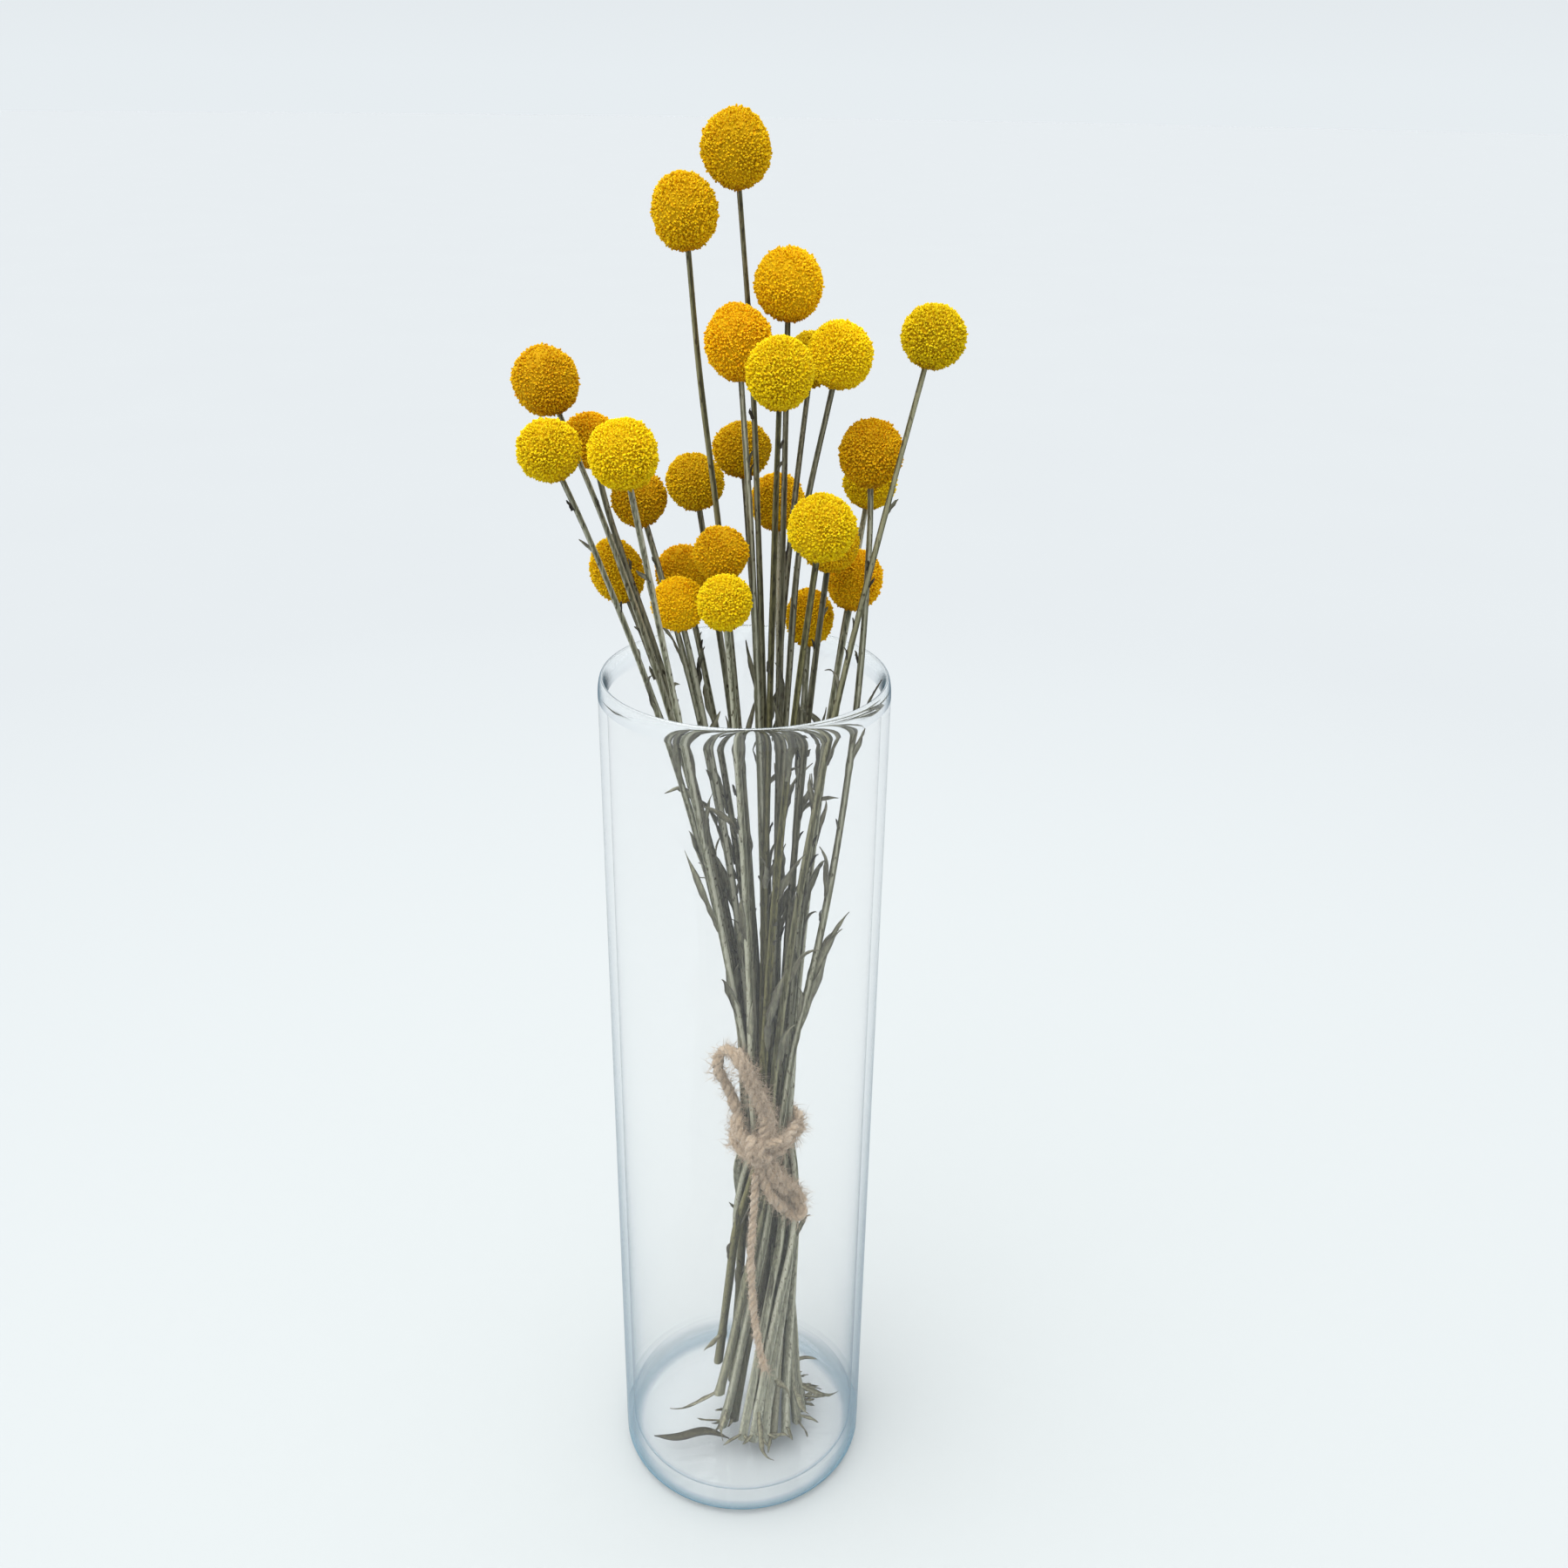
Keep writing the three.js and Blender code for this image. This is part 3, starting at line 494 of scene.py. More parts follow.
class Greenery:
    """All routes and leaves, laid out once by the same rules as the frame's solids."""

    def __init__(self):
        self.routes = [stem_route(i) for i in range(len(FLOWERS))]
        self.turns = [turn_round(self.routes, turn) for turn in TURNS]
        self.loops = [laid_over(self.routes, outline) for outline in LOOPS]
        tail = Curve(TAIL)
        self.twine = np.vstack([*self.turns, *self.loops,
                                tail.spaced(round(tail.length / TWINE_STEP))])
        self.leaves = [[] for _ in FLOWERS]
        self.grown = []
        for z, heading, length, width, angle, bend, roll in LARGE_LEAVES:
            way = (math.cos(heading), math.sin(heading))
            far = [(-at(route, z)[0][0, :2].dot(way), i) for i, route in enumerate(self.routes)
                   if route[0, 2] < z]
            for _, owner in sorted(far)[:3]:
                if self.grow(owner, z, heading, length, width, angle, bend, roll):
                    break
        for owner in range(len(FLOWERS)):
            self.grow_leaves(owner)

    def is_free(self, points, owner):
        x, y, z = points.T
        out = np.hypot(x, y)
        low = z < FLOOR_TOP + 5
        if (z < VASE_FLOOR + LEAF_REACH + LEAF_OFF_FLOOR).any() or (low & (out > FLOOR_REACH)).any():
            return False
        if ((z < VASE_HEIGHT + LEAF_OFF_RIM) & (out > BORE - LEAF_REACH)).any():
            return False
        keep_off = TWINE_RADIUS + LEAF_REACH + LEAF_OFF_TWINE
        if (np.linalg.norm(points[:, None] - self.twine, axis=2) < keep_off).any():
            return False
        left, right, leaf_y = FALLEN_LEAF[:3]
        aside = np.hypot(x - np.clip(x, left, right), y - leaf_y)
        if ((z < FALLEN_TOP) & (aside < FALLEN_REACH)).any():
            return False
        for other, route in enumerate(self.routes):
            if other == owner:
                continue
            flower = FLOWERS[other]
            if (np.linalg.norm(points - flower[:3], axis=1) < max(flower[3:5]) / 2 + LEAF_REACH).any():
                return False
            apart = np.linalg.norm(at(route, z)[0] - points, axis=1)
            if (apart < stem_radius(z) * LEAF_OFF_STEM + LEAF_REACH).any():
                return False
        return all(other == owner
                   or (np.linalg.norm(points[:, None] - spots, axis=2) > LEAF_APART).all()
                   for other, spots in self.grown)

    def grow(self, owner, z, heading, length, width, angle, bend, roll):
        point, along = (v[0] for v in at(self.routes[owner], z))
        out = level_way(heading)
        leaf = dict(root=point, up=along, out=unit(out - along * out.dot(along)), length=length,
                    width=width, angle=angle, bend=bend, roll=roll, z=z)
        samples = leaf_samples(leaf)
        if not self.is_free(samples, owner):
            return False
        self.grown.append((owner, samples))
        self.leaves[owner].append(leaf)
        return True

    def grow_leaves(self, owner):
        draw = stream(owner + 1)
        top = FLOWERS[owner][2] - FLOWERS[owner][4] / 2 - FREE_NECK
        for low, high, count, *ranges in LEAF_ZONES:
            for _ in range(math.floor(count + next(draw))):
                for _ in range(LEAF_TRIES):
                    z, heading = between(draw, (low, high)), between(draw, (0, 2 * math.pi))
                    shape = [between(draw, span) for span in (*ranges, LEAF_ROLL)]
                    if self.routes[owner][0, 2] + 4 < z < top and self.grow(owner, z, heading, *shape):
                        break


@functools.cache
def greenery():
    return Greenery()


# ------------------------------------------------------------ finishes


def node(material, kind, feeds=None, stops=None, **options):
    """Adds a node with its settings; feeds are its sockets' values, or the sockets to link to them."""
    made = material.node_tree.nodes.new("ShaderNode" + kind)
    for key, value in options.items():
        setattr(made, key, value)
    for key, value in (feeds or {}).items():
        if isinstance(value, bpy.types.NodeSocket):
            material.node_tree.links.new(value, made.inputs[key])
        else:
            made.inputs[key].default_value = value
    if stops:
        ramp = made.color_ramp.elements
        while len(ramp) < len(stops):
            ramp.new(1)
        for element, (place, tone) in zip(ramp, stops):
            element.position, element.color = place, tone
    return made


def finish(name, tone, roughness, bump=None, depth=0.0002, **constants):
    """A material: tone(material) gives the colour's socket, and bump(material) the relief's."""
    made = bpy.data.materials.new(name)
    made.use_nodes = True
    made.node_tree.nodes.clear()
    shader = node(made, "BsdfPrincipled", {"Roughness": roughness, **constants})
    made.node_tree.links.new(tone(made), shader.inputs["Base Color"])
    if bump:
        relief = node(made, "Bump", {"Height": bump(made), "Distance": depth})
        made.node_tree.links.new(relief.outputs[0], shader.inputs["Normal"])
    output = node(made, "OutputMaterial")
    made.node_tree.links.new(shader.outputs[0], output.inputs["Surface"])
    return made


def streaks(material, width, length, detail=3.0):
    """Noise drawn out lengthwise (along Z): width and length of a streak in mm."""
    place = node(material, "TexCoord").outputs["Object"]
    stretch = node(material, "Mapping", {"Vector": place, "Scale": (1, 1, width / length)})
    return node(material, "TexNoise", {"Vector": stretch.outputs[0], "Scale": 1 / (width * MM),
                                       "Detail": detail, "Roughness": 0.6}).outputs["Fac"]


def grain_of(material):
    """The piece's own attribute, as three numbers."""
    return node(material, "SeparateColor", {
        "Color": node(material, "Attribute", attribute_name="grain").outputs["Color"]}).outputs


def blended(material, share, a, b, mode="MIX"):
    made = node(material, "Mix", data_type="RGBA", blend_type=mode)
    links = material.node_tree.links
    for socket, value in ((made.inputs["Factor"], share), (made.inputs[6], a), (made.inputs[7], b)):
        if isinstance(value, bpy.types.NodeSocket):
            links.new(value, socket)
        else:
            socket.default_value = value
    return made.outputs[2]


def sum_of(material, *terms, operation="ADD"):
    """Adds (or otherwise joins) two sockets or numbers."""
    return node(material, "Math", dict(enumerate(terms)), operation=operation).outputs[0]


def product(material, a, b):
    return sum_of(material, a, b, operation="MULTIPLY")


def by_height(material, low, high, at_low, at_high):
    """A number that changes between two heights in metres."""
    height = node(material, "SeparateXYZ", {"Vector": node(material, "TexCoord").outputs["Object"]})
    return node(material, "MapRange", {"Value": height.outputs["Z"], "From Min": low, "From Max": high,
                                       "To Min": at_low, "To Max": at_high}).outputs[0]


def by_radius(material, low, high, at_low, at_high):
    """A number that changes between two distances from the vase's axis, in metres."""
    place = node(material, "TexCoord").outputs["Object"]
    flat = node(material, "Mapping", {"Vector": place, "Scale": (1, 1, 0)}).outputs[0]
    out = node(material, "VectorMath", {0: flat}, operation="LENGTH").outputs["Value"]
    return node(material, "MapRange", {"Value": out, "From Min": low, "From Max": high,
                                       "To Min": at_low, "To Max": at_high}).outputs[0]


@functools.cache
def floret_finish(tint):
    """Dried composite florets: matt waxy tubes, bleached at the mouth, brown in the gaps."""
    tones = settings().finishes

    def tone(m):
        along, fade, low = grain_of(m)[:3]
        # The floret's base and the core take the gap colour: painted shade between the florets.
        body = node(m, "ValToRGB", {"Fac": along}, stops=[
            (0.0, tones.floret_gap_shade), (0.25, tones.floret_gap_shade),
            (0.5, getattr(tones, tint)), (0.85, getattr(tones, tint)), (1.0, tones.floret_tip)])
        bleach = node(m, "MapRange", {"Value": fade, "From Min": 0.5, "From Max": 1.0, "To Max": 0.3})
        paled = blended(m, product(m, bleach.outputs[0], along), body.outputs[0], tones.floret_tip)
        old = node(m, "MapRange", {"Value": fade, "From Min": 0.3, "From Max": 0.0, "To Max": 0.5})
        browned = blended(m, old.outputs[0], paled, linear(0xE6C060), "MULTIPLY")
        # Painted shade: florets facing down, round the stem, are darkened.
        shaded = blended(m, low, browned, linear(0xB08A30), "MULTIPLY")
        # Each head's brightness: its own fading and painted light and shade together.
        fade_and_shade = node(m, "Attribute", attribute_name="grain").outputs["Alpha"]
        return blended(m, fade_and_shade, (0, 0, 0, 1), shaded)

    return finish(f"dried_{tint}_florets", tone, 0.85,
                  **{"Sheen Weight": 0.02, "Sheen Roughness": 0.6, "Specular IOR Level": 0.05})


@functools.cache
def stem_finish():
    """Dried herbaceous stem: ribbed, weathered grey-olive skin with darker furrows and flecks."""
    tones = settings().finishes

    def tone(m):
        ridge, shade, aged = grain_of(m)[:3]
        streak = streaks(m, 0.5, 9)
        # The ridge term paints the ridges lighter and the furrows darker: painted light and shade over
        # the skin's own streaks.
        rib = sum_of(m, product(m, streak, 0.9), product(m, ridge, 0.35))
        skin = node(m, "ValToRGB", {"Fac": rib}, stops=[
            (0.3, tones.stem_dark_and_shade), (0.5, linear(0x74755F)), (0.8, tones.stem_light)])
        olive = blended(m, node(m, "MapRange", {"Value": shade, "From Min": 0.5}).outputs[0],
                        skin.outputs[0], linear(0xC6C197), "MULTIPLY")
        flecks = node(m, "ValToRGB", {"Fac": streaks(m, 0.9, 2.5, 1)}, stops=[
            (0.6, (0, 0, 0, 1)), (0.72, (1, 1, 1, 1))])
        flecked = blended(m, flecks.outputs[0], olive, linear(0x46402E))
        paled = blended(m, by_height(m, 0.03, 0.14, 0.3, 0.0), flecked, linear(0xBDBFB0))
        return blended(m, aged, paled, linear(0x969080), "MULTIPLY")

    return finish("dried_flower_stem", tone, 0.75, lambda m: streaks(m, 0.25, 6), 0.00012,
                  **{"Specular IOR Level": 0.3})


@functools.cache
def leaf_finish():
    """Dried lanceolate leaf: papery, felted grey-olive, browned towards edge and tip."""
    tones = settings().finishes

    def tone(m):
        edge, _, shade = grain_of(m)[:3]
        blotch = streaks(m, 1.4, 6)
        ramp_place = sum_of(m, product(m, blotch, 0.8), product(m, edge, 0.25))
        skin = node(m, "ValToRGB", {"Fac": ramp_place}, stops=[
            (0.3, tones.leaf_light), (0.5, linear(0x767561)), (0.72, tones.leaf_dark)])
        browned = blended(m, product(m, shade, 0.6), skin.outputs[0], linear(0x8F8870), "MULTIPLY")
        dead = node(m, "MapRange", {"Value": shade, "From Min": 1.0, "From Max": 2.0})
        return blended(m, dead.outputs[0], browned, linear(0x6A645A), "MULTIPLY")

    return finish("dried_leaf_blade", tone, 0.8, lambda m: streaks(m, 0.4, 5), 0.0002,
                  **{"Sheen Weight": 0.1})


@functools.cache
def jute_finish():
    """Spun jute: pale tan bast fibres, matt and hairy, darker between the plies."""
    tones = settings().finishes

    def tone(m):
        height, fibre = grain_of(m)[:2]
        place = node(m, "TexCoord").outputs["Object"]
        strand = node(m, "TexNoise", {"Vector": place, "Scale": 1 / (0.7 * MM),
                                      "Detail": 4.0}).outputs["Fac"]
        # The height term paints shade between the plies: the crests lighter, the grooves darker.
        ramp_place = sum_of(m, product(m, strand, 0.5), product(m, height, 0.55))
        skin = node(m, "ValToRGB", {"Fac": ramp_place}, stops=[
            (0.25, tones.jute_ply_shade), (0.55, linear(0x988772)), (0.85, tones.jute_light)])
        return blended(m, product(m, fibre, 0.5), skin.outputs[0], linear(0xE0D2BC), "MULTIPLY")

    return finish("spun_jute_twine", tone, 0.95, lambda m: streaks(m, 0.3, 0.9), 0.00015,
                  **{"Sheen Weight": 0.3, "Sheen Roughness": 0.5})


def turned_away(material, sharpness):
    """How far a surface turns away from the eye, from 0 to 1."""
    facing = node(material, "LayerWeight", {"Blend": 0.5}).outputs["Facing"]
    return sum_of(material, facing, sharpness, operation="POWER")


def edged(material, body, tint, share):
    """Lays a share of a tint over a shader."""
    rind = node(material, "BsdfDiffuse", {"Color": tint})
    return node(material, "MixShader", {0: share, 1: body, 2: rind.outputs[0]}).outputs[0]


def ends(material, kind):
    return next(n for n in material.node_tree.nodes if n.bl_idname == "ShaderNode" + kind)


def rim_finish():
    """Clear soda-lime glass at the lip: bends what is seen through it, slate blue edge-on."""
    tones = settings().finishes
    made = finish("clear_soda_lime_glass", lambda m: blended(m, turned_away(m, 2.5), tones.glass,
                                                             linear(0x9DB4C0)),
                  0.0, **{"IOR": 1.5, "Transmission Weight": 1.0})
    # Painted reflection: a matt slate rind where the lip turns away, stronger towards its top.
    steep = node(made, "MapRange", {"Value": turned_away(made, 1.0), "From Min": 0.64, "From Max": 0.9},
                 interpolation_type="SMOOTHSTEP").outputs[0]
    share = product(made, steep, by_height(made, 0.334, 0.345, 0.1, 0.85))
    body = edged(made, ends(made, "BsdfPrincipled").outputs[0], tones.glass_edge_tint_and_reflection, share)
    made.node_tree.links.new(body, ends(made, "OutputMaterial").inputs["Surface"])
    return made


def clear_finish(name, alpha, body, edge, sharpness, strength, heel=0.0):
    """Clear glass without its bending: a trace of haze, a mirror and a tint where it turns away."""

    def tone(m):
        place = node(m, "TexCoord").outputs["Object"]
        haze = node(m, "TexNoise", {"Vector": place, "Scale": 1 / (30 * MM),
                                    "Detail": 2.0}).outputs["Fac"]
        return blended(m, product(m, haze, 0.3), body, edge)

    made = finish(name, tone, 0.1, **{"IOR": 1.5, "Alpha": alpha})
    share = product(made, turned_away(made, sharpness(made)), strength(made))
    # Painted reflection: a dark band fixed low round the foot's outer edge.
    if heel:
        low = product(made, by_height(made, 0.0, 0.009, heel, 0.0),
                      by_radius(made, 0.043, 0.049, 0.0, 1.0))
        share = sum_of(made, share, low)
    tinted = edged(made, ends(made, "BsdfPrincipled").outputs[0], edge, share)
    mirror = node(made, "BsdfAnisotropic", {"Roughness": 0.03})
    sheen = sum_of(made, turned_away(made, 12.0), 0.95, 0.02, operation="MULTIPLY_ADD")
    both = node(made, "MixShader", {0: sheen, 1: tinted, 2: mirror.outputs[0]})
    made.node_tree.links.new(both.outputs[0], ends(made, "OutputMaterial").inputs["Surface"])
    return made


def wall_finish():
    """The straight wall: almost unseen, with a slate line at the bore's limb, stronger low down."""

    def sharpness(m):
        return product(m, by_radius(m, 0.0475, 0.0495, 18.0, 6.5), by_height(m, 0.02, 0.16, 0.72, 1.0))

    return clear_finish("thin_soda_lime_glass", 0.015, linear(0xFBFEFF), linear(0x7593A5), sharpness,
                        lambda m: by_height(m, 0.1, 0.28, 0.95, 0.25))


def foot_finish():
    """The thick foot: a pale blue cast, deeper where its rounds turn away."""
    return clear_finish("thick_soda_lime_glass", 0.025, linear(0xEAF4F8), linear(0x7B9DAF),
                        lambda m: 3.1, lambda m: 0.9, heel=0.6)


def floor_finish():
    """Matt pale studio paper, falling off a little with distance, with the slightest mottle."""
    tones = settings().finishes

    def tone(m):
        place = node(m, "TexCoord").outputs["Object"]
        mottle = node(m, "TexNoise", {"Vector": place, "Scale": 4.0, "Detail": 2.0}).outputs["Fac"]
        # Painted light: the paper under the vase's foot is lighter.
        lit_under_vase = blended(m, by_radius(m, 0.044, 0.05, 1.0, 0.0), tones.floor, linear(0xB3B8BA))
        # Painted falloff of light: darker further out.
        paper = blended(m, by_radius(m, 0.0, 1.1, 0.0, 1.0), lit_under_vase, linear(0x9EA2A5))
        return blended(m, product(m, mottle, 0.3), paper, linear(0xA2A7A9))

    return finish("pale_studio_paper", tone, 0.9, **{"Specular IOR Level": 0.1})


# ------------------------------------------------------------ camera and stage


def place_camera():
    data = bpy.data.cameras.new("camera")
    data.sensor_width, data.lens = 36, 34.58
    camera = bpy.data.objects.new("camera", data)
    bpy.context.collection.objects.link(camera)
    camera.matrix_world = (Matrix.Translation((0.01393, -0.4792, 0.5350))
                           @ Matrix.Rotation(math.radians(64.648), 4, "X")
                           @ Matrix.Rotation(math.radians(0.89), 4, "Z"))
    bpy.context.scene.camera = camera


def turned(name, profile, steps):
    """Turns a profile of (radius, height) in metres round Z, as on a lathe."""
    bpy.ops.mesh.primitive_plane_add(size=0.001)
    piece = started(name)
    with editing():
        bpy.ops.mesh.merge(type="CENTER")
        bpy.ops.transform.translate(value=(profile[0][0], 0, profile[0][1]))
        for here, there in zip(profile, profile[1:]):
            bpy.ops.mesh.extrude_vertices_move(
                TRANSFORM_OT_translate={"value": (there[0] - here[0], 0, there[1] - here[1])})
        bpy.ops.mesh.select_all(action="SELECT")
        bpy.ops.mesh.spin(steps=steps, angle=2 * math.pi, center=(0, 0, 0), axis=(0, 0, 1))
        bpy.ops.mesh.select_all(action="SELECT")
        bpy.ops.mesh.remove_doubles(threshold=1e-6)
        bpy.ops.mesh.normals_make_consistent(inside=False)
    bpy.ops.object.shade_smooth_by_angle(angle=math.radians(40))
    return piece


def arc(x, z, radius, start, end, count):
    return [(x + radius * math.cos(a), z + radius * math.sin(a))
            for a in np.linspace(start, end, count)]


def lay_stage():
    """A wide flat floor, a sky that takes its colour over at the horizon, and one broad soft sun."""
    drop = -0.0003  # just under the vase's foot, so that no two faces share a plane
    floor = turned("studio_floor", [(0.0, drop), (0.5, drop), (3.0, drop), (20.0, drop)], 96)
    floor.data.materials.append(floor_finish())

    world = bpy.data.worlds.new("soft_sky")
    world.use_nodes = True
    world.node_tree.nodes.clear()
    way = node(world, "TexCoord").outputs["Generated"]
    rise = node(world, "SeparateXYZ", {"Vector": way}).outputs["Z"]
    sky = node(world, "ValToRGB", {"Fac": rise}, stops=[
        (0.0, (0.8, 0.85, 0.88, 1)), (0.1, (0.75, 0.79, 0.82, 1)), (0.25, (0.38, 0.4, 0.42, 1)),
        (0.5, (0.55, 0.56, 0.57, 1)), (0.8, (2.3, 2.3, 2.3, 1)), (1.0, (3.6, 3.6, 3.6, 1))])
    glow = node(world, "Background", {"Color": sky.outputs[0], "Strength": 1.0})
    world.node_tree.links.new(glow.outputs[0], node(world, "OutputWorld").inputs["Surface"])
    bpy.context.scene.world = world

    data = bpy.data.lights.new("soft_sun", "SUN")
    data.energy, data.angle, data.color = 2.0, math.radians(60), (1.0, 0.98, 0.95)
    light = bpy.data.objects.new("soft_sun", data)
    bpy.context.collection.objects.link(light)
    light.rotation_mode = "QUATERNION"
    light.rotation_quaternion = Vector((0.45, 0.35, -1.0)).to_track_quat("-Z", "Y")
    bpy.context.scene.view_settings.view_transform = "Standard"


# ------------------------------------------------------------ pieces


def blow_vase():
    """The cylinder: flat underside, round heel, rounded rim, straight bore, filleted inner floor."""
    s = settings().vase
    _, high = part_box("glass_vase")
    radius, height = VASE_RADIUS * MM, high.z
    bore, half = radius - s.wall, s.wall / 2
    rim = [(radius - half + half * math.cos(a), height - s.lip + s.lip * math.sin(a))
           for a in np.linspace(0, math.pi, 25)]
    profile = [
        (0.0, 0.0), (0.02, 0.0), (0.036, 0.0),
        *arc(radius - s.heel, s.heel, s.heel, -math.pi / 2, 0, 10),
        (radius, s.clear_from), (radius, 0.17), (radius, height - s.lip - 0.003), *rim,
        (bore, height - s.lip - 0.0012), (bore, 0.17), (bore, s.clear_from),
        *arc(bore - s.fillet, s.floor + s.fillet, s.fillet, 0, -math.pi / 2, 9),
        (0.02, s.floor), (0.0, s.floor),
    ]
    vase = turned("cylinder_vase", profile, 144)
    for made in (rim_finish(), wall_finish(), foot_finish()):
        vase.data.materials.append(made)
    for face in vase.data.polygons:
        inside = face.center.xy.length < radius - half
        if face.center.z < s.clear_from:
            face.material_index = 2
        elif face.center.z < height - s.lip - (0.0012 if inside else 0):
            face.material_index = 1
    belongs(vase, "glass_vase")


@functools.cache
def model_floret():
    """One floret, standing on the origin: a three-sided tube, wider at its mouth, with a low point."""
    s = settings().flowers
    bpy.ops.mesh.primitive_circle_add(vertices=3, radius=0.42 * s.floret_spacing, location=(0, 0, 0))
    floret = started("floret")
    tube, point = (0, 0, s.floret_length * 0.8), (0, 0, s.floret_length * 0.2)
    with editing():
        bpy.ops.mesh.extrude_region_move(TRANSFORM_OT_translate={"value": tube})
        bpy.ops.transform.resize(value=(1.4, 1.4, 1))
        bpy.ops.mesh.extrude_region_move(TRANSFORM_OT_translate={"value": point})
        bpy.ops.mesh.merge(type="CENTER")
    return taken(floret)


def evenly(count, turn):
    """Directions spread evenly over a ball in a golden-angle spiral."""
    i = np.arange(count)
    z = 1 - (2 * i + 1) / count
    side = np.sqrt(1 - z * z)
    angle = turn + i * math.pi * GOLDEN_ANGLE
    return np.stack([side * np.cos(angle), side * np.sin(angle), z], 1)


def dress_head(number):
    """A globe of florets round a core, crowded in clusters, with its axis in line with its stem."""
    s = settings().flowers
    x, y, z, width, length, tint = FLOWERS[number]
    route = greenery().routes[number]
    rng = np.random.default_rng(100 + number)
    spots, faces = model_floret()
    half = np.array((width, width, length)) / 2 + 0.15
    spacing, tall, valley = s.floret_spacing / MM, s.floret_length / MM, s.cluster_depth / MM
    count = round(4 * math.pi * (width / 2) * (length / 2) / spacing ** 2)
    way = unit(evenly(count, number) + rng.normal(0, 0.008, (count, 3)))
    clusters = unit(evenly(CLUSTERS, 2 * number + 1) + rng.normal(0, 0.03, (CLUSTERS, 3)))
    near = np.arccos(np.clip((way @ clusters.T).max(1), -1, 1)) / CLUSTER_REACH
    lumps = sum(np.sin(way @ (rng.normal(0, 2.2, 3)) + rng.uniform(0, 6)) for _ in range(3)) * 0.012
    out = 1 + lumps - 0.012
    normal = unit(way / half)
    seat = way * half * out[:, None] - normal * (tall + valley * np.minimum(near, 1.4) ** 2)[:, None]
    seat += normal * (rng.uniform(-0.4, 0.1, count) + 0.4 * (rng.uniform(0, 1, count) > 0.9))[:, None]
    lean = unit(normal + rng.normal(0, 0.24, (count, 3)))
    aside = unit(np.cross(lean, rng.normal(0, 1, (count, 3))))
    other = np.cross(lean, aside)
    grow = rng.uniform(0.82, 1.14, count)[:, None, None]
    places = (seat[:, None] + (aside[:, None] * spots[:, :1] + other[:, None] * spots[:, 1:2]) * grow
              + lean[:, None] * spots[:, 2:])
    rise = np.clip(spots[:, 2] / tall, 0, 1)
    # The third channel is painted shade on the head's underside, by its stem.
    grain = grained((count, len(spots)), rise, rng.uniform(0, 1, count)[:, None],
                    np.clip((-way[:, 2] - 0.72) * 3, 0, 0.9)[:, None], HEAD_FADE_AND_SHADE[number])
    florets = (np.arange(count)[:, None, None] * len(spots)
               + np.array([f if len(f) == 4 else f + [f[0]] for f in faces])[None]).reshape(-1, 4)
    rings = [list(dict.fromkeys(face)) for face in florets.tolist()]

    # The core: a ball drawn in from the tips, so that no gap shows through.
    bpy.ops.mesh.primitive_ico_sphere_add(subdivisions=4, radius=0.5, location=(0, 0, 0))
    ball, core_faces = taken(started("core"))
    core_spots = unit(ball) * (half - tall * 0.62)
    core_grain = np.tile((0.3, 0.5, 0.0, HEAD_FADE_AND_SHADE[number]), (len(core_spots), 1))

    along = Vector(unit(np.array((x, y, z)) - route[-2]))
    turn = np.array(Vector((0, 0, 1)).rotation_difference(along).to_matrix())
    parts = [(points @ turn.T + (x, y, z), shape, tone, 0) for points, shape, tone in (
        (places.reshape(-1, 3), rings, grain.reshape(-1, 4)), (core_spots, core_faces, core_grain))]
    head = shells(f"flower_{number + 1:02}", parts, [floret_finish(tint)])
    belongs(head, f"flower_head_{number + 1:02}")


@functools.cache
def model_rod():
    """A straight ten-sided rod of unit length and radius, with every second edge drawn in."""
    s = settings().stems
    bpy.ops.mesh.primitive_cylinder_add(vertices=10, radius=1, depth=1, location=(0, 0, 0.5))
    rod = started("rod")
    bpy.ops.object.mode_set(mode="EDIT")
    bpy.ops.mesh.select_mode(type="VERT")
    bpy.ops.mesh.select_all(action="DESELECT")
    bpy.ops.object.mode_set(mode="OBJECT")
    for corner in rod.data.vertices:
        turn = math.degrees(math.atan2(corner.co.y, corner.co.x))
        corner.select = round(turn / 36) % 2 == 0
    bpy.ops.object.mode_set(mode="EDIT")
    depth = 1 - s.furrow / s.foot_radius
    bpy.ops.transform.resize(value=(depth, depth, 1), center_override=(0, 0, 0))
    bpy.ops.mesh.select_mode(type="EDGE")
    bpy.ops.mesh.select_all(action="DESELECT")
    bpy.ops.object.mode_set(mode="OBJECT")
    for edge in rod.data.edges:
        a, b = (rod.data.vertices[i].co for i in edge.vertices)
        edge.select = abs(a.z - b.z) > 0.5
    bpy.ops.object.mode_set(mode="EDIT")
    bpy.ops.mesh.subdivide(number_cuts=110)
    bpy.ops.object.mode_set(mode="OBJECT")
    spots, faces = taken(rod)
    return spots * MM, faces


